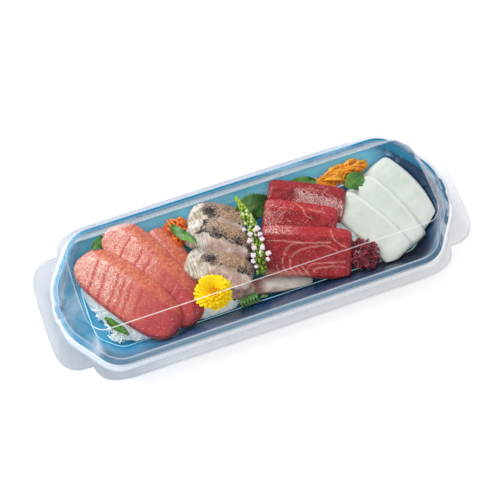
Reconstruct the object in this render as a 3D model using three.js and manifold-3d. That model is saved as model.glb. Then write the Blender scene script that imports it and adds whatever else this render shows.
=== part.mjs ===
// Sashimi tray: a shallow blue tray of sliced raw fish and squid with its garnish, under a clear domed lid.
// Millimetres. X runs along the tray, Y across it, Z up. The origin is under the middle of the tray's base.

import * as THREE from "three";
import { mergeVertices } from "three/addons/utils/BufferGeometryUtils.js";
import Module from "manifold-3d";

const wasm = await Module();
wasm.setup();

// Driving dimensions

const GAP = 0.3;

// Outlines of the pack, as half sizes. A chamfer takes cutX off the side and cutY off the end.
const RIM = { halfLength: 138.5, halfWidth: 51.3, cutX: 24.5, cutY: 35, bow: 1.3, round: 11 };
const FLOOR = { halfLength: 119, halfWidth: 31.8, cutX: 14, cutY: 12, bow: 0.6, round: 5 };
const ROOF = { halfLength: 122.5, halfWidth: 33.2, cutX: 7, cutY: 8, bow: 0.6, round: 4.5 };
const DOME_FOOT = { halfLength: 135.3, halfWidth: 48.1, cutX: 23.5, cutY: 33.5, bow: 1.2, round: 10 };
const FLANGE = {
  halfLength: 150,
  halfWidth: 59,
  notchX: 127.4,
  notchY: 42.7,
  tabRound: 14,
  sideRound: 17,
};

const TRAY = {
  wall: 1,
  floorZ: 1.2,
  panelZ: 2.2,
  panelInset: 10,
  gutter: 9,
  rimZ: 21,
  lipDrop: 3,
  lipWidth: 3,
};
const LID = {
  wall: 0.6,
  roofZ: 44,
  roofEdgeZ: 43.2,
  roofBevel: 3.4,
  rimZ: 21.9,
  skirt: 1.4,
  cover: 2.6,
  flangeZ: 13.8,
  edgeZ: 12.2,
};

// Slices lie in layers on one tilted plane, the raised side of each on the next one.
// at: a point of the plane; heading: direction of the slices' length; sag: drop of the ends at 40 mm;
// bow: how far the middle of a slice curves towards its raised side.
// round: how square the outline's corners are.
const FATTY_TUNA = {
  at: [-63.7, 15.2, 5.4],
  heading: -58,
  tilt: 19.8,
  thick: 8.5,
  bevel: 7,
  sag: 1.6,
  bow: 1,
  round: 2.9,
};
const SEA_BREAM = {
  at: [-29.8, 20.6, 5.5],
  heading: -32,
  tilt: 22,
  thick: 6.5,
  bevel: 3.5,
  sag: 1.2,
  bow: 1.5,
  round: 3.6,
};
const LOW_BREAM = {
  at: [-24, -17, 3.4],
  heading: -20,
  tilt: 5,
  thick: 4,
  bevel: 1.5,
  sag: 0,
  bow: 0.5,
  round: 2.7,
};
const RED_TUNA = {
  at: [36.6, 17.3, 8.8],
  heading: -22,
  tilt: 21.7,
  thick: 6.5,
  bevel: 6,
  sag: 0.8,
  bow: 0.5,
  round: 6,
};
const SQUID = {
  at: [104.2, -1.2, 5],
  heading: -65,
  tilt: 15.4,
  thick: 5,
  bevel: 2,
  sag: 1.2,
  bow: 2.5,
  round: 8,
};
const SILVER_FISH = {
  at: [8, -24.5, 2.8],
  heading: -11,
  tilt: 0,
  thick: 2.6,
  bevel: 1.5,
  sag: 0,
  bow: 1,
  round: 3,
};

// layer 0 is the lowest; edge: place of the raised side on the plane; turn: degrees in the plane.
const SLICES = [
  {
    name: "fatty_tuna_back", group: FATTY_TUNA, layer: 0, along: 9, edge: 19,
    turn: -18, length: 56, width: 19,
  },
  {
    name: "fatty_tuna_middle", group: FATTY_TUNA, layer: 1, along: 2, edge: 11,
    turn: -10, length: 92, width: 35,
  },
  {
    name: "fatty_tuna_front", group: FATTY_TUNA, layer: 2, along: 0, edge: -9,
    turn: 0, length: 85, width: 35,
  },
  {
    name: "sea_bream_back", group: SEA_BREAM, layer: 0, along: 6.5, edge: 29,
    turn: -1, length: 40, width: 25,
  },
  {
    name: "sea_bream_second", group: SEA_BREAM, layer: 1, along: 11, edge: 15.5,
    turn: -7, length: 47, width: 24,
  },
  {
    name: "sea_bream_third", group: SEA_BREAM, layer: 2, along: 16, edge: -3.5,
    turn: -4, length: 47, width: 25,
  },
  { name: "sea_bream_front", group: LOW_BREAM, layer: 0, along: 0, edge: 9, turn: 0, length: 34, width: 17 },
  { name: "red_tuna_back", group: RED_TUNA, layer: 0, along: 7, edge: 23.5, turn: -5, length: 54, width: 26 },
  { name: "red_tuna_middle", group: RED_TUNA, layer: 1, along: 3, edge: 9, turn: -6, length: 51, width: 26 },
  {
    name: "red_tuna_front", group: RED_TUNA, layer: 2, along: 7.5, edge: -8,
    turn: -1, length: 63, width: 35.5,
  },
  { name: "squid_right", group: SQUID, layer: 0, along: -4, edge: 25, turn: -8, length: 60, width: 27 },
  { name: "squid_middle", group: SQUID, layer: 1, along: -2, edge: 6.5, turn: -6, length: 60, width: 26 },
  { name: "squid_left", group: SQUID, layer: 2, along: -2, edge: -9.5, turn: 0, length: 60, width: 24 },
  {
    name: "silver_slice", group: SILVER_FISH, layer: 0, along: -1, edge: 6.5,
    turn: 0, length: 50, width: 13,
  },
];

// Slices of other groups that press down on a slice.
const ABOVE = {
  fatty_tuna_back: ["sea_bream_third"],
  red_tuna_back: ["squid_left"],
  silver_slice: ["sea_bream_front"],
};

// Mounds of shreds: at is the middle of the mound's foot, and the strands lie over it.
const BEDS = [
  {
    name: "radish_bed_left", at: [-90, -4, 2.2], heading: -58, length: 90,
    width: 46, height: 8, strands: 6, seed: 3,
  },
  {
    name: "radish_bed_middle", at: [-40, -22, 2.2], heading: -8, length: 42,
    width: 25, height: 6, strands: 5, seed: 5,
  },
  {
    name: "radish_bed_right", at: [66, 1, 2.2], heading: -18, length: 80, width: 46,
    height: 7, strands: 5, seed: 8,
  },
];
const RADISH_STRAND = { wide: 1.7, thick: 1.1, length: 26, steps: 3 };

const CARROTS = [
  {
    name: "carrot_left", at: [-45, 29.5, 12], heading: -68, length: 30, width: 22,
    height: 6.8, strands: 9, seed: 21,
  },
  {
    name: "carrot_right", at: [79, 37, 11], heading: 6, length: 42, width: 14,
    height: 5, strands: 9, seed: 34,
  },
];
const CARROT_STRAND = { wide: 1.9, thick: 1.3, length: 17, steps: 3 };

const FLOWER = { at: [-37.4, -23, 20.2], radius: 13.6, height: 7.5, stemRadius: 2, stemLength: 14 };
const PETAL_ROWS = [
  { count: 16, reach: 1, rise: 4, z: 0.3, wide: 2.4 },
  { count: 12, reach: 0.8, rise: 22, z: 0.5, wide: 2.2 },
  { count: 6, reach: 0.54, rise: 45, z: 0.7, wide: 1.9 },
];

const SPIKE = { tip: [0.5, 38.5, 22.5], middle: [2.5, 8, 25], foot: [-2, -21, 21], stem: 1.1 };
const BUDS = { count: 17, size: 2.2, spread: 1.8 };
const BLOSSOMS = { count: 11, size: 2.6, spread: 3 };

// Leaves: at is the middle of the leaf, turned about X, Y and Z in degrees.
const LEAF = { thickness: 0.7, along: 7, across: 2 };
const LEAVES = [
  { name: "shiso_leaf", at: [10, 31, 15], turned: [38, 0, 8], length: 30, width: 19, wave: 1.4 },
  { name: "leaf_left_of_bream", at: [-43.5, 24, 24.2], turned: [0, 14, 118], length: 29, width: 7, wave: 1 },
  { name: "leaf_behind_squid", at: [84, 26, 15.5], turned: [20, 0, 20], length: 16, width: 13, wave: 1.2 },
  {
    name: "leaf_under_fatty_tuna", at: [-104.5, -19.5, 10], turned: [-10, 8, -52],
    length: 20, width: 6, wave: 0.8,
  },
  { name: "leaf_near_edge", at: [-14, -31.5, 7], turned: [25, 0, 4], length: 19, width: 8, wave: 1.1 },
  { name: "leaf_behind_red_tuna", at: [50, 37.2, 16], turned: [24, 0, -12], length: 19, width: 8, wave: 0.8 },
  { name: "leaf_behind_fatty_tuna", at: [-97, 40, 18], turned: [20, 0, 24], length: 15, width: 7, wave: 0.7 },
];

const SEAWEED = { at: [69, -28, 12], size: [10, 11, 6.5], fronds: 9, reach: 12, seed: 55 };

const COLOURS = {
  tray: 0x1f7fae,
  lid: 0xeef3f6,
  fatty_tuna: 0xd9746a,
  sea_bream: 0xc9b5a6,
  red_tuna: 0xa22f33,
  squid: 0xe4ebe6,
  silver: 0xc4b5a5,
  radish: 0xe3ebe8,
  carrot: 0xf07d18,
  petal: 0xf3d21b,
  spike: 0x7fa03a,
  leaf: 0x2f6b2d,
  seaweed: 0x7a2138,
};

// Solids: a geometry's shared vertices are merged, so that it can be joined and cut

function solidOf(geometry) {
  const bare = geometry.clone();
  bare.deleteAttribute("normal");
  bare.deleteAttribute("uv");
  const merged = mergeVertices(bare, 1e-4);
  const solid = new wasm.Manifold(
    new wasm.Mesh({
      numProp: 3,
      vertProperties: merged.attributes.position.array,
      triVerts: new Uint32Array(merged.index.array),
    }),
  );
  return solid;
}

function geometryOf(solid) {
  const mesh = solid.getMesh();
  const geometry = new THREE.BufferGeometry();
  geometry.setAttribute("position", new THREE.BufferAttribute(mesh.vertProperties, 3));
  geometry.setIndex(new THREE.BufferAttribute(mesh.triVerts, 1));
  return geometry;
}

// Joins rings of equally many points into a closed skin, with a fan over the first and the last ring.
function loft(rings) {
  const count = rings[0].length;
  const points = rings.flat();
  const faces = [];
  for (let ring = 0; ring < rings.length - 1; ring++) {
    for (let i = 0; i < count; i++) {
      const a = ring * count + i;
      const b = ring * count + ((i + 1) % count);
      faces.push(a, b, b + count, a, b + count, a + count);
    }
  }
  const addFan = (ring, flipped) => {
    const middle = new THREE.Vector3();
    rings[ring].forEach((p) => middle.addScaledVector(p, 1 / count));
    points.push(middle);
    for (let i = 0; i < count; i++) {
      const a = ring * count + i;
      const b = ring * count + ((i + 1) % count);
      faces.push(...(flipped ? [b, a, points.length - 1] : [a, b, points.length - 1]));
    }
  };
  addFan(0, true);
  addFan(rings.length - 1, false);
  const geometry = new THREE.BufferGeometry().setFromPoints(points);
  geometry.setIndex(faces);
  return geometry;
}

// Pack outlines

// Points of a path's curves: each entry of divisions gives the steps on one curve.
function samplePath(path, divisions) {
  return path.curves.flatMap((curve, i) => curve.getPoints(divisions[i]).slice(i === 0 ? 0 : 1));
}

const QUARTER_STEPS = [3, 3, 1, 3, 1];

// A quarter of the rounded octagon, from the middle of the end to the middle of the side.
function octagonQuarter({ halfLength, halfWidth, cutX, cutY, bow, round }) {
  const endCorner = new THREE.Vector2(halfLength, halfWidth - cutY);
  const sideCorner = new THREE.Vector2(halfLength - cutX, halfWidth);
  const slope = sideCorner.clone().sub(endCorner).normalize();
  const path = new THREE.Path();
  path.moveTo(halfLength + bow, 0);
  path.quadraticCurveTo(halfLength + bow, endCorner.y / 3, halfLength, endCorner.y - round);
  const first = endCorner.clone().addScaledVector(slope, round);
  path.quadraticCurveTo(endCorner.x, endCorner.y, first.x, first.y);
  const second = sideCorner.clone().addScaledVector(slope, -round);
  path.lineTo(second.x, second.y);
  path.quadraticCurveTo(sideCorner.x, sideCorner.y, sideCorner.x - round, halfWidth);
  path.lineTo(0, halfWidth);
  return samplePath(path, QUARTER_STEPS);
}

// A quarter of the lid's flange: a rounded tab at the end, a notch, and the side flange.
function flangeQuarter({ halfLength, halfWidth, notchX, notchY, tabRound, sideRound }) {
  const path = new THREE.Path();
  path.moveTo(halfLength, 0);
  path.quadraticCurveTo(halfLength, notchY / 3, halfLength - 0.8, notchY - 1.4 * tabRound);
  path.bezierCurveTo(
    halfLength - 1.6,
    notchY - 0.5 * tabRound,
    halfLength - 0.5 * tabRound,
    notchY - 2.5,
    halfLength - tabRound,
    notchY - 0.6,
  );
  path.lineTo(notchX, notchY);
  path.bezierCurveTo(
    notchX - 1.8,
    notchY + 0.6 * sideRound,
    notchX - 0.4 * sideRound,
    halfWidth - 1.2,
    notchX - 1.5 * sideRound,
    halfWidth - 0.4,
  );
  path.lineTo(0, halfWidth);
  return samplePath(path, QUARTER_STEPS);
}

// The whole outline at height z, from its quarter.
function ringOf(quarter, z) {
  const last = quarter.length - 1;
  const turned = [...quarter].reverse();
  const ring = [
    ...quarter.map((p) => [p.x, p.y]),
    ...turned.slice(1).map((p) => [-p.x, p.y]),
    ...quarter.slice(1).map((p) => [-p.x, -p.y]),
    ...turned.slice(1, last).map((p) => [p.x, -p.y]),
  ];
  return ring.map(([x, y]) => new THREE.Vector3(x, y, z));
}

function inset(outline, amount) {
  return {
    ...outline,
    halfLength: outline.halfLength - amount,
    halfWidth: outline.halfWidth - amount,
  };
}

function octagonRing(outline, amount, z) {
  return ringOf(octagonQuarter(inset(outline, amount)), z);
}

function flangeRing(amount, z) {
  const outline = inset(FLANGE, amount);
  outline.notchX -= 0.75 * amount;
  outline.notchY -= 0.75 * amount;
  return ringOf(flangeQuarter(outline), z);
}

// Pack

function trayShell() {
  const { wall, floorZ, panelZ, panelInset, gutter, rimZ, lipDrop, lipWidth } = TRAY;
  return loft([
    octagonRing(FLOOR, panelInset, panelZ - wall),
    octagonRing(FLOOR, gutter, 0),
    octagonRing(FLOOR, 0.6, 0),
    octagonRing(FLOOR, -0.6, 0.6),
    octagonRing(RIM, lipWidth + 0.6, rimZ - wall),
    octagonRing(RIM, wall, rimZ - wall),
    octagonRing(RIM, wall, rimZ - lipDrop),
    octagonRing(RIM, 0, rimZ - lipDrop),
    octagonRing(RIM, 0, rimZ - 0.5),
    octagonRing(RIM, 0.5, rimZ),
    octagonRing(RIM, lipWidth - 0.4, rimZ),
    octagonRing(RIM, lipWidth + 0.6, rimZ - 0.6),
    octagonRing(FLOOR, 0, floorZ + 0.9),
    octagonRing(FLOOR, 1.2, floorZ),
    octagonRing(FLOOR, gutter, floorZ),
    octagonRing(FLOOR, panelInset, panelZ),
  ]);
}

function lidShell() {
  const { wall, roofZ, roofEdgeZ, roofBevel, rimZ, skirt, cover, flangeZ, edgeZ } = LID;
  return loft([
    octagonRing(ROOF, roofBevel + 0.8 + 0.4 * wall, roofZ - wall),
    octagonRing(ROOF, roofBevel + 0.4 * wall, roofZ - wall),
    octagonRing(ROOF, 0.9 * wall, roofEdgeZ - 0.8 * wall),
    octagonRing(DOME_FOOT, 0.7 * wall, rimZ - wall),
    octagonRing(RIM, -skirt + wall, rimZ - wall),
    octagonRing(RIM, -cover + 0.3 + wall, flangeZ + 1),
    octagonRing(RIM, -cover + 0.3 + 0.4 * wall, flangeZ - wall),
    flangeRing(1 + 0.7 * wall, flangeZ - wall),
    flangeRing(wall, edgeZ),
    flangeRing(0, edgeZ),
    flangeRing(1, flangeZ),
    octagonRing(RIM, -cover - 0.3, flangeZ),
    octagonRing(RIM, -cover + 0.3, flangeZ + 1),
    octagonRing(RIM, -skirt, rimZ - 0.6),
    octagonRing(RIM, -skirt + 0.6, rimZ),
    octagonRing(DOME_FOOT, 0, rimZ),
    octagonRing(ROOF, 0, roofEdgeZ),
    octagonRing(ROOF, roofBevel, roofZ),
    octagonRing(ROOF, roofBevel + 0.8, roofZ),
  ]);
}

// Slices

const STATIONS = [-0.985, -0.94, -0.8, -0.52, -0.18, 0.18, 0.52, 0.8, 0.94, 0.985];

// Cross-section of a slice: a soft-cornered slab whose raised side is cut at a slant.
function sliceSection(half, thick, bevel) {
  const soft = Math.min(1, half / thick);
  const lean = bevel * soft;
  const corner = 0.3 * thick * soft;
  return [
    [-half + corner, 0],
    [half - 0.4 * corner, 0],
    [half, 0.18 * thick],
    [half - 0.45 * lean, 0.62 * thick],
    [half - lean - 0.4 * corner, thick],
    [0.1 * half, 1.05 * thick],
    [-half + corner, thick],
    [-half + 0.15 * corner, 0.75 * thick],
    [-half, 0.3 * thick],
  ];
}

// Puts a point of a slice (x along it, y across it, z off its underside) into the tray.
function placeOnLayer(slice, x, y, z) {
  const { at, heading, tilt, thick, sag, bow } = slice.group;
  const turn = THREE.MathUtils.degToRad(slice.turn);
  const across = slice.edge - slice.width / 2 + bow * (0.5 - ((2 * x) / slice.length) ** 2);
  const u = slice.along + x * Math.cos(turn) - y * Math.sin(turn);
  const v = across + x * Math.sin(turn) + y * Math.cos(turn);
  const w = slice.layer * (1.05 * thick + GAP) + z - sag * (u / 40) ** 2;
  const place = new THREE.Vector3(u, v, w);
  place.applyAxisAngle(new THREE.Vector3(1, 0, 0), THREE.MathUtils.degToRad(tilt));
  place.applyAxisAngle(new THREE.Vector3(0, 0, 1), THREE.MathUtils.degToRad(heading));
  return place.add(new THREE.Vector3(...at));
}

function sliceGeometry(slice, stations, grow = 0) {
  const { thick, bevel, round } = slice.group;
  const rings = stations.map((t) => {
    const half = (slice.width / 2) * (1 - Math.abs(t) ** round) ** (1 / round);
    const end = 1 - 0.3 * Math.abs(t) ** 12;
    const x = t * (slice.length / 2 + grow);
    return sliceSection(half + grow, thick * end + 2 * grow, bevel).map(([y, z]) =>
      placeOnLayer(slice, x, y, z - grow + 0.12 * thick * (1 - end)),
    );
  });
  return loft(rings);
}

// The space inside the shut pack, a gap clear of the tray and the lid.
function packSpace() {
  return solidOf(
    loft([
      octagonRing(FLOOR, 1.2 + GAP, TRAY.panelZ + GAP),
      octagonRing(RIM, TRAY.lipWidth + 1.4, TRAY.rimZ),
      octagonRing(ROOF, 1.6, LID.roofEdgeZ - 1.6),
    ]),
  );
}

const SPACE = packSpace();

// A slice gives way to the tray's walls and to the slices that press down on it.
function sliceSolid(slice) {
  const above = SLICES.filter(({ name }) => ABOVE[slice.name]?.includes(name));
  return above.reduce(
    (solid, upper) => solid.subtract(solidOf(sliceGeometry(upper, STATIONS, GAP))),
    solidOf(sliceGeometry(slice, STATIONS)).intersect(SPACE),
  );
}

// Garnish

// Numbers from 0 to 1 that come out the same each time.
function randomFrom(seed) {
  let state = seed * 2654435761;
  return () => {
    state = (Math.imul(state ^ (state >>> 15), 2246822519) + 3266489917) >>> 0;
    return ((state ^ (state >>> 13)) >>> 0) / 4294967296;
  };
}

function joined(geometries) {
  return geometries.map(solidOf).reduce((whole, piece) => whole.add(piece));
}

// Room for each slice, grown by the gap and with fewer faces.
const ROUGH_STATIONS = [-1, -0.82, 0, 0.82, 1];
const SLICE_ROOM = joined(SLICES.map((slice) => roughSlice(slice, 2 * GAP)));

function roughSlice(slice, grow) {
  const { thick, bevel } = slice.group;
  const rings = ROUGH_STATIONS.map((t) => {
    const half = (slice.width / 2) * (Math.abs(t) < 1 ? 1 : 0.7) + grow;
    const low = -grow;
    const high = 1.05 * thick + grow;
    const section = [
      [-half, low],
      [half, low],
      [half, 0.3 * high],
      [half - bevel, high],
      [-half, high],
    ];
    return section.map(([y, z]) => placeOnLayer(slice, t * (slice.length / 2 + grow), y, z));
  });
  return loft(rings);
}

// What is left of a garnish inside the pack and clear of the slices: its one largest body.
function fitted(solid) {
  const bodies = solid.intersect(SPACE).subtract(SLICE_ROOM).decompose();
  return bodies.reduce((best, body) => (body.volume() > best.volume() ? body : best));
}

function moundHeight({ length, width, height }, x, y) {
  const reach = Math.hypot((2 * x) / length, (2 * y) / width);
  return height * Math.max(0, 1 - reach ** 3);
}

function moundCore(mound) {
  const around = 14;
  const levels = [1, 0.9, 0.6];
  const uneven = (angle) => 1 + 0.06 * Math.sin(3 * angle + mound.seed) + 0.04 * Math.sin(7 * angle);
  return loft(
    levels.map((level) =>
      Array.from({ length: around }, (_, i) => {
        const angle = (i / around) * 2 * Math.PI;
        const reach = level * uneven(angle);
        const x = (mound.length / 2) * reach * Math.cos(angle);
        const y = (mound.width / 2) * reach * Math.sin(angle);
        return new THREE.Vector3(x, y, level === 1 ? 0 : mound.height * (1 - level ** 3));
      }),
    ),
  );
}

// One shred: a strip of rectangular section that follows the mound.
function shred(mound, { wide, thick, length, steps }, random) {
  const angle = 2 * Math.PI * random();
  const reach = 0.35 + 0.55 * Math.sqrt(random());
  const x = (mound.length / 2) * reach * Math.cos(angle);
  const y = (mound.width / 2) * reach * Math.sin(angle);
  const heading = angle + Math.PI / 2 + 1.6 * (random() - 0.5);
  const bend = 0.25 * (random() - 0.5) * length;
  const lift = 0.1 * thick + 0.5 * thick * random();
  const points = [-0.5, -0.17, 0.17, 0.5].map((t) => {
    const side = bend * (1 - 4 * t * t);
    const px = x + t * length * Math.cos(heading) - side * Math.sin(heading);
    const py = y + t * length * Math.sin(heading) + side * Math.cos(heading);
    return new THREE.Vector3(px, py, moundHeight(mound, px, py) + lift);
  });
  const section = new THREE.Shape();
  section.moveTo(-thick / 2, -wide / 2);
  section.lineTo(thick / 2, -wide / 2);
  section.lineTo(thick / 2, wide / 2);
  section.lineTo(-thick / 2, wide / 2);
  section.closePath();
  const path = new THREE.CatmullRomCurve3(points);
  return new THREE.ExtrudeGeometry(section, { steps, bevelEnabled: false, extrudePath: path });
}

function moundOf(mound, strand) {
  const random = randomFrom(mound.seed);
  const pieces = [moundCore(mound)];
  for (let i = 0; i < mound.strands; i++) pieces.push(shred(mound, strand, random));
  const placed = pieces.map((piece) => {
    piece.rotateZ(THREE.MathUtils.degToRad(mound.heading));
    return piece.translate(...mound.at);
  });
  return joined(placed);
}

// A flower head: rows of flattened petals round a low dome, on a short stem.
function flowerHead() {
  const { at, radius, height, stemRadius, stemLength } = FLOWER;
  const profile = [
    [0, 0],
    [0.42, 0],
    [0.5, 0.35],
    [0.4, 0.8],
    [0.2, 1],
    [0, 1.02],
  ].map(([r, z]) => new THREE.Vector2(r * radius, z * height));
  const core = new THREE.LatheGeometry(profile, 10).rotateX(Math.PI / 2);
  const stem = new THREE.CylinderGeometry(stemRadius, stemRadius, stemLength, 6);
  stem.rotateX(Math.PI / 2).translate(0, 0, 1 - stemLength / 2);
  const pieces = [core, stem];
  PETAL_ROWS.forEach((row, rowIndex) => {
    for (let i = 0; i < row.count; i++) {
      const root = 0.3 * radius;
      const length = (row.reach * radius - root) / Math.cos(THREE.MathUtils.degToRad(row.rise));
      const petal = new THREE.CylinderGeometry(row.wide * 0.62, row.wide * 0.75, length, 4);
      petal.scale(1, 1, 0.5);
      petal.translate(0, length / 2, 0);
      petal.rotateX(THREE.MathUtils.degToRad(row.rise));
      petal.translate(0, root, row.z * height * 0.7);
      petal.rotateZ(((i + 0.5 * (rowIndex % 2)) / row.count) * 2 * Math.PI);
      pieces.push(petal);
    }
  });
  return joined(pieces.map((piece) => piece.translate(...at)));
}

// Buds close round the upper stem and open blossoms wider round the lower one.
function flowerSpike() {
  const ends = [SPIKE.tip, SPIKE.middle, SPIKE.foot].map((p) => new THREE.Vector3(...p));
  const path = new THREE.CatmullRomCurve3(ends);
  const round = new THREE.Shape();
  round.absarc(0, 0, SPIKE.stem, 0, 2 * Math.PI);
  const stem = new THREE.ExtrudeGeometry(round, {
    steps: 8,
    curveSegments: 3,
    bevelEnabled: false,
    extrudePath: path,
  });
  const random = randomFrom(13);
  const pieces = [stem];
  const addKnobs = ({ count, size, spread }, from, to) => {
    for (let i = 0; i < count; i++) {
      const t = from + ((to - from) * (i + 0.5)) / count;
      const angle = 2.4 * i;
      const knob = new THREE.OctahedronGeometry(size * (0.8 + 0.4 * random())).rotateX(3 * random());
      const middle = path.getPoint(t);
      const off = spread * (0.45 + 0.55 * Math.min(1, 3 * (t - from) + 0.2));
      knob.translate(middle.x + off * Math.cos(angle), middle.y, middle.z + 0.6 * off * Math.sin(angle));
      pieces.push(knob);
    }
  };
  addKnobs(BUDS, 0, 0.5);
  addKnobs(BLOSSOMS, 0.45, 1);
  return joined(pieces);
}

// A thin wavy leaf: both faces are split into triangles alike.
function leafSheet({ at, turned, length, width, wave }) {
  const { thickness, along, across } = LEAF;
  const row = across + 1;
  const layer = (along + 1) * row;
  const points = [];
  for (const side of [-0.5, 0.5]) {
    for (let i = 0; i <= along; i++) {
      const t = i / along;
      const half = (width / 2) * (0.12 + 0.88 * Math.sin(Math.PI * Math.min(1, 0.06 + 0.94 * t)) ** 0.7);
      for (let j = 0; j <= across; j++) {
        const s = (2 * j) / across - 1;
        const frill = wave * (Math.abs(s) * Math.sin(9 * t + 2 * s) + 0.8 * Math.cos(3 * t));
        points.push(new THREE.Vector3(length * (t - 0.5), half * s, frill + side * thickness));
      }
    }
  }
  const faces = [];
  for (let i = 0; i < along; i++) {
    for (let j = 0; j < across; j++) {
      const a = i * row + j;
      faces.push(a, a + row + 1, a + row, a, a + 1, a + row + 1);
      const b = layer + a;
      faces.push(b, b + row, b + row + 1, b, b + row + 1, b + 1);
    }
  }
  const wall = (a, b) => faces.push(a, b, b + layer, a, b + layer, a + layer);
  for (let i = 0; i < along; i++) {
    wall(i * row, (i + 1) * row);
    wall((i + 1) * row + across, i * row + across);
  }
  for (let j = 0; j < across; j++) {
    wall(j + 1, j);
    wall(along * row + j, along * row + j + 1);
  }
  const geometry = new THREE.BufferGeometry().setFromPoints(points);
  geometry.setIndex(faces);
  const [rx, ry, rz] = turned.map(THREE.MathUtils.degToRad);
  geometry.rotateX(rx).rotateY(ry).rotateZ(rz);
  return solidOf(geometry.translate(...at));
}

// A tangled lump of frilled seaweed: fronds with forked tips over a low core.
function seaweedTuft() {
  const { at, size, fronds, reach, seed } = SEAWEED;
  const random = randomFrom(seed);
  const pieces = [new THREE.IcosahedronGeometry(1, 1).scale(...size)];
  for (let i = 0; i < fronds; i++) {
    const angle = (i / fronds) * 2 * Math.PI + 0.5 * random();
    const rise = 0.2 + 1.1 * random();
    const length = reach * (0.8 + 0.35 * random());
    const frond = new THREE.CylinderGeometry(2.2, 1.3, length, 4).scale(1, 1, 0.5);
    frond.rotateY(3 * random());
    frond.translate(0, length / 2, 0);
    const tips = [-1, 1].map((side) => {
      const tip = new THREE.OctahedronGeometry(2.3 + 0.5 * random(), 0).scale(1, 1.2, 0.6);
      return tip.translate(1.3 * side, length - 0.4, 0);
    });
    pieces.push(...[frond, ...tips].map((piece) => piece.rotateX(rise).rotateZ(angle)));
  }
  return joined(pieces.map((piece) => piece.translate(...at)));
}

// Assembly

function finish(colour, roughness) {
  return new THREE.MeshStandardMaterial({ color: colour, roughness });
}

const tray = new THREE.Group();

function addMesh(name, geometry, material) {
  const mesh = new THREE.Mesh(geometry, material);
  mesh.name = name;
  tray.add(mesh);
}

function addSolid(name, solid, material) {
  addMesh(name, geometryOf(solid), material);
}

addMesh("tray", trayShell(), finish(COLOURS.tray, 0.3));
addMesh("lid", lidShell(), finish(COLOURS.lid, 0.1));
for (const slice of SLICES) {
  const kind = slice.name.startsWith("silver") ? "silver" : slice.name.replace(/_[a-z]+$/, "");
  addSolid(slice.name, sliceSolid(slice), finish(COLOURS[kind], 0.35));
}
for (const bed of BEDS) {
  addSolid(bed.name, fitted(moundOf(bed, RADISH_STRAND)), finish(COLOURS.radish, 0.3));
}
for (const heap of CARROTS) {
  addSolid(heap.name, fitted(moundOf(heap, CARROT_STRAND)), finish(COLOURS.carrot, 0.4));
}
addSolid("chrysanthemum", fitted(flowerHead()), finish(COLOURS.petal, 0.5));
addSolid("shiso_flower_spike", fitted(flowerSpike()), finish(COLOURS.spike, 0.5));
for (const leaf of LEAVES) {
  addSolid(leaf.name, fitted(leafSheet(leaf)), finish(COLOURS.leaf, 0.5));
}
addSolid("red_seaweed", fitted(seaweedTuft()), finish(COLOURS.seaweed, 0.3));

export default tray;
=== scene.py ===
"""Looks of the sashimi tray: raw fish and squid with garnish in a blue tray under a clear lid."""

import math

import bmesh
import bpy
import numpy as np
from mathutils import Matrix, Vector
from mathutils.bvhtree import BVHTree


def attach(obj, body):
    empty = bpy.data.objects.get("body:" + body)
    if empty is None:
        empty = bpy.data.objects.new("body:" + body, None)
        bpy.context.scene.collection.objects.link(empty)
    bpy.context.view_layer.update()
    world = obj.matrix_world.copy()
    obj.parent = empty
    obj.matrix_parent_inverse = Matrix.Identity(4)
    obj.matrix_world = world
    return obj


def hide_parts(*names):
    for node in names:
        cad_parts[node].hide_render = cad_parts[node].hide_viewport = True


MM = 0.001
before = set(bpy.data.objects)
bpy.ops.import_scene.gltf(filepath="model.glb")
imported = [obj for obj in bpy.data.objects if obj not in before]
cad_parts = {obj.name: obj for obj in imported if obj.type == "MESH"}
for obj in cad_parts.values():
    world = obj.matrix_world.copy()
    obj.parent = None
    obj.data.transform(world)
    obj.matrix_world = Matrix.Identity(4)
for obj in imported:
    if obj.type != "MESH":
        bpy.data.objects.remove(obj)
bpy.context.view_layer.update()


# Materials


def colour(hex_code):
    """Linear colour of an sRGB hex code."""
    parts = [int(hex_code[i : i + 2], 16) / 255 for i in (0, 2, 4)]
    linear = [c / 12.92 if c <= 0.04045 else ((c + 0.055) / 1.055) ** 2.4 for c in parts]
    return (*linear, 1.0)


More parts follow.
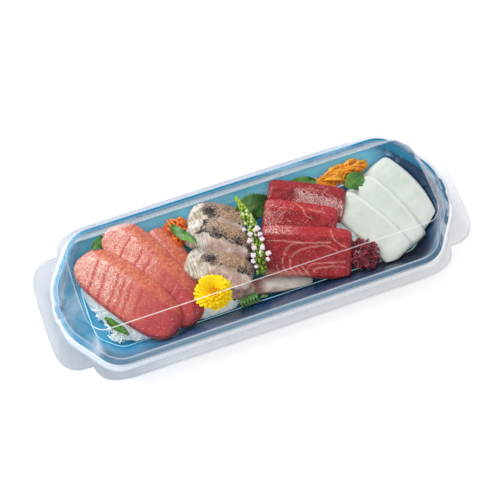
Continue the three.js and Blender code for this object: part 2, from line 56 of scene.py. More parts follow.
class Nodes:
    """A short way to write a node tree; colours may be given as hex codes."""

    def __init__(self, name):
        self.material = bpy.data.materials.new(name)
        self.material.use_nodes = True
        self.tree = self.material.node_tree
        self.tree.nodes.clear()
        self.out = self.tree.nodes.new("ShaderNodeOutputMaterial")

    def add(self, kind, inputs=None, **settings):
        node = self.tree.nodes.new("ShaderNode" + kind)
        for key, value in settings.items():
            setattr(node, key, value)
        for key, value in (inputs or {}).items():
            self.plug(value, node.inputs[key])
        return node

    def plug(self, value, socket):
        if isinstance(value, bpy.types.NodeSocket):
            self.tree.links.new(value, socket)
        else:
            socket.default_value = colour(value) if isinstance(value, str) else value

    def place(self, scale=1.0, stretch=(1, 1, 1)):
        """Object coordinates in millimetres times scale."""
        where = self.add("TexCoord").outputs["Object"]
        scales = [s * scale / MM for s in stretch]
        return self.add("Mapping", {"Vector": where, "Scale": scales}).outputs[0]

    def axes(self):
        """X, Y and Z of the object in millimetres."""
        return self.add("SeparateXYZ", {"Vector": self.place()}).outputs

    def flat(self, stretch=(1, 1, 1), turn=0.0):
        """Coordinates along and across a piece, in millimetres."""
        where = self.add("Attribute", attribute_name="flat").outputs["Vector"]
        turned_to = self.add("Mapping", {"Vector": where, "Rotation": (0, 0, turn)}).outputs[0]
        return self.add("Mapping", {"Vector": turned_to, "Scale": stretch}).outputs[0]

    def noise(self, vector, scale=1.0, detail=3.0, rough=0.55, distortion=0.0):
        names = ("Vector", "Scale", "Detail", "Roughness", "Distortion")
        inputs = dict(zip(names, (vector, scale, detail, rough, distortion)))
        return self.add("TexNoise", inputs).outputs["Fac"]

    def ramp(self, value, low, high, most=1.0):
        """0 where value is at low and before, most where it is at high and past it."""
        inputs = {"Value": value, "From Min": low, "From Max": high, "To Max": most}
        return self.add("MapRange", inputs, interpolation_type="SMOOTHSTEP").outputs["Result"]

    def maths(self, operation, *values):
        return self.add("Math", dict(enumerate(values)), operation=operation).outputs[0]

    def times(self, value, *factors):
        for factor in factors:
            value = self.maths("MULTIPLY", value, factor)
        return value

    def mask(self, name):
        return self.add("Attribute", attribute_name=name).outputs["Fac"]

    def mix(self, share, a, b):
        inputs = {"Factor": share, "A": a, "B": b}
        return self.add("Mix", inputs, data_type="RGBA").outputs["Result"]

    def blend(self, value, low, high, a, b):
        """Colour a where value is low, and b where it is high."""
        return self.mix(self.ramp(value, low, high), a, b)

    def layered(self, base, *layers):
        """Lays colours over base, each with the share that it covers."""
        for share, hue in layers:
            base = self.mix(share, base, hue)
        return base

    def bump(self, height, distance, strength):
        inputs = {"Height": height, "Distance": distance * MM, "Strength": strength}
        return self.add("Bump", inputs).outputs["Normal"]

    def principled(self, base, rough, normal=None, **settings):
        settings |= {"Base Color": base, "Roughness": rough, "Subsurface_Scale": MM}
        if normal is not None:
            settings["Normal"] = normal
        inputs = {key.replace("_", " "): value for key, value in settings.items()}
        shader = self.add("BsdfPrincipled", inputs).outputs[0]
        self.tree.links.new(shader, self.out.inputs["Surface"])
        return self.material


def moist(nodes, base, rough, normal=None, glow=0.15, reach=(3, 1, 0.6), coat=0.3):
    """Wet flesh: a little light goes through it and a thin wet coat lies on it."""
    inner = dict(Subsurface_Weight=glow, Subsurface_Radius=reach, Specular_IOR_Level=0.32)
    return nodes.principled(base, rough, normal, Coat_Weight=coat, Coat_Roughness=0.18, **inner)


# Meshes


def smooth_step(low, high, x):
    t = np.clip((x - low) / (high - low), 0, 1)
    return t * t * (3 - 2 * t)


def waves(points, size, seed):
    """Soft uneven field from -1 to 1 over points in millimetres, with bumps of about that size."""
    rng = np.random.default_rng(seed)
    total = np.zeros(len(points))
    weights = 0.6 ** np.arange(3)
    for octave, weight in enumerate(weights):
        for _ in range(5):
            direction = rng.normal(size=3)
            turns = 2**octave * rng.uniform(0.7, 1.3) / (size * 0.8)
            direction *= 2 * math.pi * turns / np.linalg.norm(direction)
            total += weight * np.sin(points @ direction + rng.uniform(0, 6.3))
    return total / (weights.sum() * 2.6)


def make_object(name, points, faces, material, replaced, slot):
    """A mesh piece from points in millimetres, in place of nodes of the solid part."""
    mesh = bpy.data.meshes.new(name)
    mesh.from_pydata((np.asarray(points) * MM).tolist(), [], faces)
    mesh.validate()
    mesh.shade_smooth()
    mesh.materials.append(material)
    made = bpy.data.objects.new(name, mesh)
    bpy.context.scene.collection.objects.link(made)
    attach(made, "root")
    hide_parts(*replaced)
    return made


def give(obj, name, values):
    """Adds a number or a vector for each point, for the materials to read."""
    values = np.asarray(values, np.float32)
    kind, key = ("FLOAT", "value") if values.ndim == 1 else ("FLOAT_VECTOR", "vector")
    attribute = obj.data.attributes.new(name, kind, "POINT")
    attribute.data.foreach_set(key, values.ravel())


def closed_loft(rings):
    """Points and faces of a skin through closed rings, with a cap on the first and the last."""
    count = len(rings[0])
    last = (len(rings) - 1) * count
    faces = []
    for start in range(0, last, count):
        for i in range(count):
            a, b = start + i, start + (i + 1) % count
            faces.append((a, b, b + count, a + count))
    faces += [tuple(range(count - 1, -1, -1)), tuple(range(last, last + count))]
    return np.vstack(rings), faces


class Pile:
    """Gathers pieces into one mesh, with a number for each point under each mask's name."""

    def __init__(self, *masks):
        self.points, self.faces, self.count = [], [], 0
        self.masks = {name: [] for name in masks}

    def add(self, points, faces, **masks):
        self.points.append(np.asarray(points, float))
        self.faces += [tuple(self.count + i for i in face) for face in faces]
        self.count += len(points)
        for name, values in self.masks.items():
            values.append(np.broadcast_to(masks.get(name, 0.0), len(points)))

    def build(self, name, material, replaced, slot, held=True):
        points = np.vstack(self.points)
        points = held_inside(points) if held else points
        made = make_object(name, points, self.faces, material, replaced, slot)
        for key, values in self.masks.items():
            give(made, key, np.concatenate(values))


def unit(vectors):
    return vectors / np.maximum(np.linalg.norm(vectors, axis=-1, keepdims=True), 1e-9)


def tube(path, width, thick, sides=6, roll=0.0):
    """A strip of oval section along a path; width and thick may vary along it."""
    path = np.asarray(path, float)
    ahead = unit(np.gradient(path, axis=0))
    side = unit(np.cross(np.where(np.abs(ahead[:, 2:]) > 0.95, [[1.0, 0, 0]], [[0.0, 0, 1]]), ahead))
    over = np.cross(ahead, side)
    roll = np.broadcast_to(roll, len(path))[:, None]
    side, over = side * np.cos(roll) + over * np.sin(roll), over * np.cos(roll) - side * np.sin(roll)
    width = np.broadcast_to(width, len(path))[:, None]
    thick = np.broadcast_to(thick, len(path))[:, None]
    rings = []
    for angle in np.arange(sides) * 2 * math.pi / sides:
        rings.append(path + side * width / 2 * math.cos(angle) + over * thick / 2 * math.sin(angle))
    return closed_loft(np.stack(rings, 1))


def smoothed(values, times=2):
    for _ in range(times):
        padded = np.r_[values[:1], values, values[-1:]]
        values = (padded[:-2] + 2 * padded[1:-1] + padded[2:]) / 4
    return values


# Pack outlines, as in the solid part but with finer curves

RIM = dict(length=138.5, width=51.3, cut_x=24.5, cut_y=35, bow=1.3, round=11)
FLOOR = dict(length=119, width=31.8, cut_x=14, cut_y=12, bow=0.6, round=5)
ROOF = dict(length=122.5, width=33.2, cut_x=7, cut_y=8, bow=0.6, round=4.5)
DOME_FOOT = dict(length=135.3, width=48.1, cut_x=23.5, cut_y=33.5, bow=1.2, round=10)
FLANGE = dict(length=150, width=59, notch_x=127.4, notch_y=42.7, tab=14, side=17)
CURVE_STEPS = 10


def bezier(*corners, steps=CURVE_STEPS):
    """A curve from the first corner to the last that leans to those between them."""
    t = np.linspace(0, 1, steps + 1)[:, None]
    rows = [np.array(corner, float) for corner in corners]
    while len(rows) > 1:
        rows = [(1 - t) * a + t * b for a, b in zip(rows, rows[1:])]
    return rows[0]


def octagon_quarter(outline, inset):
    length, width = outline["length"] - inset, outline["width"] - inset
    end = np.array((length, width - outline["cut_y"]))
    side = np.array((length - outline["cut_x"], width))
    slope = (side - end) / np.linalg.norm(side - end)
    bow, soft = outline["bow"], outline["round"]
    first, second = end + slope * soft, side - slope * soft
    return [
        bezier((length + bow, 0), (length + bow, end[1] / 3), (length, end[1] - soft)),
        bezier((length, end[1] - soft), end, first),
        bezier(first, second, steps=4),
        bezier(second, side, (side[0] - soft, width)),
        bezier((side[0] - soft, width), (0, width), steps=16),
    ]


def flange_quarter(outline, inset):
    length, width = outline["length"] - inset, outline["width"] - inset
    x, y = outline["notch_x"] - 0.75 * inset, outline["notch_y"] - 0.75 * inset
    tab, side = outline["tab"], outline["side"]
    tab_start, tab_end = (length - 0.8, y - 1.4 * tab), (length - tab, y - 0.6)
    side_end = (x - 1.5 * side, width - 0.4)
    return [
        bezier((length, 0), (length, y / 3), tab_start),
        bezier(tab_start, (length - 1.6, y - 0.5 * tab), (length - 0.5 * tab, y - 2.5), tab_end),
        bezier(tab_end, (x, y), steps=4),
        bezier((x, y), (x - 1.8, y + 0.6 * side), (x - 0.4 * side, width - 1.2), side_end),
        bezier(side_end, (0, width), steps=16),
    ]


def whole_ring(outline, inset, z):
    """An outline, drawn in by inset, as a closed ring at height z."""
    curves = (flange_quarter if outline is FLANGE else octagon_quarter)(outline, inset)
    quarter = np.vstack([curves[0]] + [c[1:] for c in curves[1:]])
    back = quarter[::-1]
    ring = np.vstack([quarter, back[1:] * (-1, 1), quarter[1:] * (-1, -1), back[1:-1] * (1, -1)])
    return np.column_stack([ring, np.full(len(ring), z)])


# The space inside the shut pack, as in the solid part: outline, how far in from it, height
SPACE = [(FLOOR, 1.5, 2.5), (RIM, 4.4, 21), (ROOF, 1.6, 41.6)]


def held_inside(points):
    """Pulls points that are past the pack's walls back onto a skin just inside them."""
    x, y, z = points.T

    def at_height(key, share):
        sizes = [outline[key] - share * inset for outline, inset, _ in SPACE]
        return np.interp(z, [height for _, _, height in SPACE], sizes)

    length, width = at_height("length", 1), at_height("width", 1)
    cut_x, cut_y = at_height("cut_x", 0), at_height("cut_y", 0)
    x, y = np.clip(x, -length, length), np.clip(y, -width, width)
    across_x, across_y = np.array((cut_y, cut_x)) / np.hypot(cut_x, cut_y)
    past = (np.abs(x) - length) * across_x + (np.abs(y) - width + cut_y) * across_y
    past = np.maximum(0, past)
    return np.column_stack([x - np.sign(x) * past * across_x, y - np.sign(y) * past * across_y, z])


def soften_rings(rings, most, reaches, share=0.3):
    """Puts three rings in place of each bend, so that creases are rounded a little."""
    softened = [rings[0]]
    for bend, (before, here, after) in enumerate(zip(rings, rings[1:], rings[2:]), 1):
        reach = reaches.get(bend, most)
        back = here + (before - here) * min(share, reach / max(1e-6, np.abs(before - here).max()))
        on = here + (after - here) * min(share, reach / max(1e-6, np.abs(after - here).max()))
        softened += [back, 0.5 * here + 0.25 * (back + on), on]
    softened.append(rings[-1])
    return softened


def ring_marks(strengths, rings):
    """The numbers for the points of softened rings: a bend's own mark is on its middle ring only."""
    marks = [0]
    for bend in range(1, len(rings) - 1):
        marks += [0, strengths.get(bend, 0), 0]
    return np.repeat(marks + [0], len(rings[0]))


# Tray

FLOOR_EDGE_RING = 12


def tray_material():
    """Blue sheet with painted light: painted bright and glowing at the far and left walls, painted navy
    shade at the near and right walls, with painted streaky highlights, a painted reflection and a painted
    highlight line at the floor's edge.
    """
    nodes = Nodes("blue tray")
    x, y, z = nodes.axes()
    # The left end is painted brighter, as painted light through the sheet.
    left, line = nodes.ramp(x, -92, -124), nodes.mask("line")
    # Painted shade: navy on the near wall, darkest to the right; the floor painted darker to the right; the
    # rim painted paler at the near left and at the left end, as painted light.
    near_wall_painted_shade = nodes.blend(x, 0, 90, nodes.blend(x, -105, -40, "1a86b8", "06335f"), "0f1f38")
    floor_with_painted_shade = nodes.blend(x, 40, 118, nodes.blend(x, -40, 30, "0d84a6", "0f4e76"), "103a5e")
    near_rim_painted_light = nodes.blend(x, 20, 110, "8fbdd4", "4f7593")
    rim_painted_light = nodes.mix(left, nodes.blend(y, -20, 20, near_rim_painted_light, "0a7fa9"), "4b9cc6")
    # Painted highlights: pale streaks on the walls above the floor, none on the near wall.
    streaks = nodes.noise(nodes.place(0.05, (0.35, 1.6, 2.2)), 1, 4, 0.6, 0.8)
    painted_glint = nodes.times(nodes.ramp(streaks, 0.55, 0.72), nodes.ramp(z, 2.5, 6), nodes.ramp(y, -25, 10), 0.45)
    # Painted reflection: a purple-grey band high on the near wall, fading towards the right.
    haze = nodes.times(nodes.ramp(z, 9, 17), nodes.ramp(y, -30, -40), nodes.ramp(x, 105, 50), 0.5)
    base = nodes.layered(
        nodes.blend(y, -27, -33, floor_with_painted_shade, near_wall_painted_shade),
        # The far wall painted bright, darker at its right end; the left end painted bright; the right end
        # painted in navy shade.
        (nodes.ramp(y, 26, 40), nodes.blend(x, 95, 120, "66b6d3", "1a5078")),
        (left, "3b92ba"),
        (nodes.ramp(x, 108, 121), "123a5c"),
        (nodes.ramp(z, 17.5, 20.2), rim_painted_light),
        (painted_glint, "a9d9ee"),
        (haze, "5d6885"),
        # Painted highlight: a pale cyan line along the floor's edge.
        (line, "b5eaf8"),
    )
    # Painted light: the far and left walls glow below the rim, and the floor's edge line glows pale cyan.
    lit = nodes.maths("MAXIMUM", nodes.ramp(y, 10, 40), left)
    lit = nodes.times(lit, nodes.ramp(z, 19, 15), 0.5)
    glow = nodes.layered("000000", (lit, base), (line, "b4f0ff"))
    coat = dict(Coat_Weight=0.25, Coat_Roughness=0.1)
    return nodes.principled(base, 0.25, Emission_Color=glow, Emission_Strength=0.6, **coat)


def make_tray():
    wall, floor_z, panel_z, rim_z, lip_drop, lip, foot = 1, 1.2, 2.2, 21, 3, 3, 9
    rings = [
        (FLOOR, foot + 1, panel_z - wall),
        (FLOOR, foot, 0),
        (FLOOR, 0.6, 0),
        (FLOOR, -0.6, 0.6),
        (RIM, lip + 0.6, rim_z - wall),
        (RIM, wall, rim_z - wall),
        (RIM, wall, rim_z - lip_drop),
        (RIM, 0, rim_z - lip_drop),
        (RIM, 0, rim_z - 0.5),
        (RIM, 0.5, rim_z),
        (RIM, lip - 0.4, rim_z),
        (RIM, lip + 0.6, rim_z - 0.6),
        (FLOOR, 0, floor_z + 0.9),
        (FLOOR, 1.2, floor_z),
        (FLOOR, foot, floor_z),
        (FLOOR, foot + 1, panel_z),
    ]
    rings = [whole_ring(*ring) for ring in rings]
    points, faces = closed_loft(soften_rings(rings, 1.2, {FLOOR_EDGE_RING: 0.9}))
    made = make_object("blue_tray", points, faces, tray_material(), ["tray"], "tray_plastic")
    # The floor's edge ring carries the painted highlight line.
    give(made, "line", ring_marks({FLOOR_EDGE_RING: 1}, rings))


# Lid


def lid_material():
    """A clear film: it mirrors and darkens more where it is seen edge on; painted highlights and painted
    reflections lie on it as a pale shader that glows, and painted grey shade darkens its bends and flange.
    """
    nodes = Nodes("clear lid")
    facing = nodes.add("LayerWeight", {"Blend": 0.5}).outputs["Facing"]
    tint = nodes.layered(
        (0.99, 0.993, 0.995, 1),
        (nodes.maths("POWER", facing, 3.0), (0.7, 0.74, 0.79, 1)),
        # The grey mask tints what is seen through the film: painted grey shade.
        (nodes.mask("grey"), (0.42, 0.44, 0.48, 1)),
    )
    mirror = nodes.maths("MULTIPLY_ADD", nodes.maths("POWER", facing, 5.0), 0.55, 0.005)
    clear = nodes.add("BsdfTransparent", {"Color": tint})
    gloss = nodes.add("BsdfGlossy", {"Color": (1, 1, 1, 1), "Roughness": 0.05})
    film = nodes.add("MixShader", {0: mirror, 1: clear.outputs[0], 2: gloss.outputs[0]})
    # Painted reflections and painted highlights: soft clouds, streaks at the right end and the white bends,
    # in a pale shader that glows.
    cloud = nodes.noise(nodes.place(0.045, (1, 1, 0.6)), 1, 4, 0.6, 1.0)
    streaks = nodes.noise(nodes.place(0.09, (2.2, 0.5, 0.5)), 1, 4, 0.65, 1.2)
    haze = nodes.times(nodes.ramp(cloud, 0.4, 0.62), nodes.mask("haze"))
    painted_streaks = nodes.times(nodes.ramp(streaks, 0.5, 0.62), nodes.mask("streaks"))
    white = nodes.maths("MAXIMUM", nodes.maths("MAXIMUM", haze, painted_streaks), nodes.mask("white"))
    pale = nodes.add("BsdfDiffuse", {"Color": (0.88, 0.9, 0.93, 1)})
    shine = nodes.add("Emission", {"Color": (0.93, 0.94, 1, 1), "Strength": 0.4})
    bright = nodes.add("AddShader", {0: pale.outputs[0], 1: shine.outputs[0]})
    both = nodes.add("MixShader", {0: white, 1: film.outputs[0], 2: bright.outputs[0]})
    nodes.tree.links.new(both.outputs[0], nodes.out.inputs["Surface"])
    return nodes.material


# How much each bend of the lid's upper side shows as a painted highlight line, and as a painted grey shade
# line
ROOF_RING, DOME_FOOT_RING, RIM_RING, SHOULDER_RING = 16, 15, 14, 13
FOOT_RING, FLANGE_RING, EDGE_RING = 12, 10, 9
PAINTED_HIGHLIGHT_BENDS = {ROOF_RING: 0.85, DOME_FOOT_RING: 0.35, RIM_RING: 0.4, FOOT_RING: 0.25}
PAINTED_SHADE_BENDS = {SHOULDER_RING: 0.6, FOOT_RING: 0.75, FLANGE_RING: 0.7, EDGE_RING: 0.9}
SHARP_BENDS = {ROOF_RING: 0.45, FLANGE_RING: 0.45, RIM_RING: 0.4, FOOT_RING: 0.5}
RIB_PITCH = 1.7
RIB_REACH = 100
# Painted reflections, soft pale patches on the dome's corners: place, reach, strength
DOME_PAINTED_REFLECTIONS = [((-122, -36, 28), 6.5, 0.6), ((119, 33, 33), 8, 0.5), ((124, 22, 28), 5, 0.3)]


def lid_haze(points):
    """Painted reflections on the dome: soft pale patches at the corners, a faint pale wash at the left end,
    painted streaks at the right end.
    """
    x, y, z = points.T
    dome = smooth_step(19, 24, z) * smooth_step(43.4, 42, z)
    patches = np.zeros(len(x))
    for place, reach, strength in DOME_PAINTED_REFLECTIONS:
        away = np.linalg.norm(points - place, axis=1) / reach
        patches = np.maximum(patches, strength * np.exp(-(away**4)))
    left = 0.14 * smooth_step(-119, -126, x)
    right = 0.32 * smooth_step(114, 124, x) * smooth_step(34, 26, y)
    return dome * left, dome * right, patches


def make_lid():
    wall, roof_z, edge_roof_z, rim_z, flange_z, edge_z = 0.6, 44, 43.2, 21.9, 13.8, 12.2
    cover, skirt = 2.6, 1.4
    rings = [
        (ROOF, 4.2 + 0.4 * wall, roof_z - wall),
        (ROOF, 3.4 + 0.4 * wall, roof_z - wall),
        (ROOF, 0.9 * wall, edge_roof_z - 0.8 * wall),
        (DOME_FOOT, 0.7 * wall, rim_z - wall),
        (RIM, -skirt + wall, rim_z - wall),
        (RIM, -cover + 0.3 + wall, flange_z + 1),
        (RIM, -cover + 0.3 + 0.4 * wall, flange_z - wall),
        (FLANGE, 1 + 0.7 * wall, flange_z - wall),
        (FLANGE, wall, edge_z),
        (FLANGE, 0, edge_z),
        (FLANGE, 1, flange_z),
        (RIM, -cover - 0.3, flange_z),
        (RIM, -cover + 0.3, flange_z + 1),
        (RIM, -skirt, rim_z - 0.6),
        (RIM, -skirt + 0.6, rim_z),
        (DOME_FOOT, 0, rim_z),
        (ROOF, 0, edge_roof_z),
        (ROOF, 3.4, roof_z),
        (ROOF, 4.2, roof_z),
    ]
    rings = [whole_ring(*ring) for ring in rings]
    points, faces = closed_loft(soften_rings(rings, 0.8, SHARP_BENDS))
    haze, streaks, patches = lid_haze(points)
    x, y, z = points.T
    # Painted highlights on the bends, strongest on the roof's near edge and weaker low on the far side, with
    # the dome's painted reflections; painted grey shade on the bends and the flange, more at the left end
    # and far side.
    near = smooth_step(-24, -30, y) * (0.55 + 0.45 * smooth_step(40, -60, x))
    white = ring_marks(PAINTED_HIGHLIGHT_BENDS, rings) * np.where(z > 40, np.maximum(0.4, near), 1)
    white *= np.where((z < 25) & (y > 35), 0.45, 1)
    lit_side = np.maximum(smooth_step(-70, -130, x), smooth_step(30, 52, y) * smooth_step(120, 60, x))
    flange_painted_grey = (0.2 + 0.32 * lit_side + 0.05 * waves(points, 12, 7)) * (z < 15)
    grey = np.maximum(ring_marks(PAINTED_SHADE_BENDS, rings), flange_painted_grey)
    white = np.maximum(white, patches)
    pile = Pile("white", "grey", "haze", "streaks")
    pile.add(points, faces, white=white, grey=grey, haze=haze, streaks=streaks)
    for side in (-1, 1):
        for x in np.arange(-RIB_REACH, RIB_REACH + 0.1, RIB_PITCH):
            low = (x, side * (RIM["width"] + 2.0), 15.8)
            high = (x, side * (RIM["width"] + 1.45), 20.6)
            # The ribs carry a painted highlight and painted grey shade.
            pile.add(*tube(np.linspace(low, high, 4), 0.7, 0.35), white=0.3, grey=0.35)
    pile.build("clear_lid", lid_material(), ["lid"], "lid_plastic", held=False)


# Slices lie in layers on one tilted plane, as in the solid part

FATTY_TUNA = dict(
    at=(-63.7, 15.2, 5.4), heading=-58, tilt=19.8, thick=8.5, bevel=7, sag=1.6, bow=1, round=2.9
)
SEA_BREAM = dict(
    at=(-29.8, 20.6, 5.5), heading=-32, tilt=22, thick=6.5, bevel=3.5, sag=1.2, bow=1.5, round=3.6
)
LOW_BREAM = dict(
    at=(-24, -17, 3.4), heading=-20, tilt=5, thick=4, bevel=1.5, sag=0, bow=0.5, round=2.7
)
RED_TUNA = dict(
    at=(36.6, 17.3, 8.8), heading=-22, tilt=21.7, thick=6.5, bevel=6, sag=0.8, bow=0.5, round=9
)
SQUID = dict(
    at=(104.2, -1.2, 5), heading=-65, tilt=15.4, thick=5, bevel=2, sag=1.2, bow=2.5, round=13
)
SILVER_FISH = dict(
    at=(8, -24.5, 2.8), heading=-11, tilt=0, thick=2.6, bevel=1.5, sag=0, bow=1, round=3
)

# Name, group, layer, along, edge, turn, length, width
SLICES = [
    ("fatty_tuna_back", FATTY_TUNA, 0, 9, 19, -18, 56, 19),
    ("fatty_tuna_middle", FATTY_TUNA, 1, 2, 11, -10, 92, 35),
    ("fatty_tuna_front", FATTY_TUNA, 2, 0, -9, 0, 85, 35),
    ("sea_bream_back", SEA_BREAM, 0, 6.5, 29, -1, 40, 25),
    ("sea_bream_second", SEA_BREAM, 1, 11, 15.5, -7, 47, 24),
    ("sea_bream_third", SEA_BREAM, 2, 16, -3.5, -4, 47, 25),
    ("sea_bream_front", LOW_BREAM, 0, 0, 9, 0, 34, 17),
    ("red_tuna_back", RED_TUNA, 0, 7, 23.5, -5, 54, 26),
    ("red_tuna_middle", RED_TUNA, 1, 3, 9, -6, 51, 26),
    ("red_tuna_front", RED_TUNA, 2, 7.5, -8, -1, 63, 35.5),
    ("squid_right", SQUID, 0, -4, 25, -8, 60, 27),
    ("squid_middle", SQUID, 1, -2, 6.5, -6, 60, 26),
    ("squid_left", SQUID, 2, -2, -9.5, 0, 60, 24),
    ("silver_slice", SILVER_FISH, 0, -1, 6.5, 0, 50, 13),
]
# The gap between layers, and the distance between the points of a slice's skin
GAP = 0.3
SLICE_PITCH = 0.7


def on_layer(spec, local):
    """Places points of a slice, x along it, y across it and z off its underside, in the tray."""
    _, group, layer, along, edge, turn, length, width = spec
    placed = turned(local, (0, 0, turn))
    placed[:, 0] += along
    placed[:, 1] += edge - width / 2 + group["bow"] * (0.5 - (2 * local[:, 0] / length) ** 2)
    placed[:, 2] += layer * (1.05 * group["thick"] + GAP) - group["sag"] * (placed[:, 0] / 40) ** 2
    return turned(placed, (group["tilt"], 0, group["heading"])) + group["at"]


def corner_cut(section, shares=(0.07, 0.22)):
    """Rounds a closed polygon by cutting its corners, by these shares of its sides."""
    for share in shares:
        following = np.roll(section, -1, axis=0)
        cut = [(1 - share) * section + share * following, share * section + (1 - share) * following]
        section = np.stack(cut, 1).reshape(-1, 2)
    return section


def slice_section(half, thick, bevel):
    soft = min(1, half / thick)
    lean, corner = bevel * soft, 0.3 * thick * soft
    return np.array(
        [
            (-half + corner, 0),
            (half - 0.4 * corner, 0),
            (half, 0.18 * thick),
            (half - 0.45 * lean, 0.62 * thick),
            (half - lean - 0.4 * corner, thick),
            (0.5 * half - 0.5 * lean, 1.04 * thick),
            (0.1 * half, 1.05 * thick),
            (-0.45 * half, 1.03 * thick),
            (-half + corner, thick),
            (-half + 0.15 * corner, 0.75 * thick),
            (-half, 0.3 * thick),
        ]
    )


def even_points(polygon, count):
    """That many points at even steps round a closed polygon."""
    closed = np.vstack([polygon, polygon[:1]])
    steps = np.r_[0, np.cumsum(np.linalg.norm(np.diff(closed, axis=0), axis=1))]
    at = np.linspace(0, steps[-1], count, endpoint=False)
    return np.column_stack([np.interp(at, steps, closed[:, i]) for i in (0, 1)])


def slice_grid(spec):
    """Local points of a slice: rings round it from one end to the other."""
    group, length, width = spec[1], spec[6], spec[7]
    thick, power = group["thick"], group["round"]
    around = int(2 * (width + thick) / SLICE_PITCH)
    along = int(length / SLICE_PITCH)
    rings = []
    for t in np.sin(np.linspace(-0.5, 0.5, along) * math.pi) * 0.999:
        half = width / 2 * (1 - abs(t) ** power) ** (1 / power)
        end = 1 - 0.4 * abs(t) ** 24
        section = corner_cut(slice_section(half, thick * end, group["bevel"]))
        section = even_points(section, around) + (0, 0.12 * thick * (1 - end))
        rings.append(np.column_stack([np.full(around, t * length / 2), section]))
    return rings


def normals_of(points, faces):
    mesh = bpy.data.meshes.new("scratch")
    mesh.from_pydata(points.tolist(), [], faces)
    found = np.zeros(3 * len(points), np.float32)
    mesh.vertices.foreach_get("normal", found)
    bpy.data.meshes.remove(mesh)
    return found.reshape(-1, 3)


def make_slice(spec, style, material, slot):
    """A slice in its kind's style: style(local, top, spec) gives its relief and its masks."""
    name = spec[0]
    local, faces = closed_loft(slice_grid(spec))
    placed = on_layer(spec, local)
    top = smooth_step(0.2, 0.75, normals_of(local, faces)[:, 2])
    relief, masks = style(local, top, spec)
    placed = held_inside(placed + normals_of(placed, faces) * relief[:, None])
    made = make_object(name + "_flesh", placed, faces, material, [name], slot)
    give(made, "flat", local)
    for key, values in masks.items():
        give(made, key, values)


def line_at(value, width):
    """1 on a line where value is 0, falling off over width."""
    return np.exp(-((value / width) ** 2))


def bevel_share(local, spec):
    """1 on the slanted cut along a slice's raised side."""
    group, width = spec[1], spec[7]
    start = width / 2 - group["bevel"] - 0.1 * group["thick"]
    return smooth_step(start - 1.2, start + 0.6, local[:, 1]) * (local[:, 2] > 0.1 * group["thick"])


# Where the cuts cross a slice's middle line, in millimetres along it, and how marbled it is; the back
# slices' lower marbling is partly their own and partly painted shade, which darkens them
FATTY_GROOVES = {
    "fatty_tuna_front": (-26, -17.5, -8, -2.5, 3.5, 12),
    "fatty_tuna_middle": (-24, -11, -3, 22, 28, 34),
    "fatty_tuna_back": (-8, 6),
}
FATTY_MARBLING_AND_PAINTED_SHADE = {"fatty_tuna_front": 1, "fatty_tuna_middle": 0.8, "fatty_tuna_back": 0.6}


def fatty_tuna_material():
    nodes = Nodes("fatty tuna")
    flat = nodes.flat()
    specks = nodes.noise(nodes.flat((1.4, 1, 1), 0.25), 1.0, 1, 0.5)
    dots = nodes.noise(flat, 1.25, 0, 0.5)
    middle = nodes.noise(nodes.flat((1.5, 0.6, 1), 0.22), 0.35, 4, 0.7)
    streaks = nodes.noise(nodes.flat((0.45, 1.6, 1), -0.5), 0.8, 4, 0.7)
    marbled = nodes.mask("marbled")
    fat = nodes.maths("MULTIPLY_ADD", marbled, 0.16, specks)
    base = nodes.layered(
        nodes.blend(nodes.noise(flat, 0.1, 3), 0.35, 0.65, "ca564c", "d66c5a"),
        (nodes.mask("near"), "bd4347"),
        (nodes.mask("band"), nodes.blend(middle, 0.38, 0.62, "ca5a40", "e1825f")),
        (nodes.times(marbled, 0.85), nodes.blend(middle, 0.4, 0.6, "d97868", "ecaa94")),
        (nodes.times(nodes.mask("groove"), 0.8), "c4484a"),
        (nodes.ramp(fat, 0.68, 0.76, 0.8), "fce3d5"),
        (nodes.ramp(dots, 0.4, 0.3, 0.6), "a9444a"),
        (nodes.ramp(streaks, 0.58, 0.68, 0.4), "eeb0a0"),
    )
    return moist(nodes, base, 0.34, nodes.bump(specks, 0.25, 0.5), 0.08, (2, 0.8, 0.5), 0.2)


def fatty_tuna_style(local, top, spec):
    x, y, _ = local.T
    half = spec[7] / 2
    band = bevel_share(local, spec)
    wobble = waves(local, 14, 3)
    across = x + 0.3 * y + 0.6 * wobble
    reach = smooth_step(0.6 * half, 0.2 * half, y) * top * (1 - band)
    colour_lines, cuts = np.zeros((2, len(x)))
    for place in FATTY_GROOVES[spec[0]]:
        colour_lines = np.maximum(colour_lines, line_at(across - place, 1.1))
        cuts = np.maximum(cuts, line_at(across - place, 0.6))
    marbled = smooth_step(20, -16, x + 0.5 * y + 5 * wobble) * (1 - 0.75 * band) * top
    marbled *= smooth_step(-0.98 * half, -0.5 * half, y)
    # Less marbling on the middle and back slices: partly their own, partly painted shade.
    marbled *= (1 - 0.8 * colour_lines * reach) * FATTY_MARBLING_AND_PAINTED_SHADE[spec[0]]
    relief = -0.4 * cuts * reach + 0.2 * waves(local, 9, 5) * top
    near = smooth_step(0, 32, x + 6 * wobble)
    groove = colour_lines * reach
    return relief, dict(groove=groove, marbled=marbled, band=band * (1 - 0.6 * near), near=near)


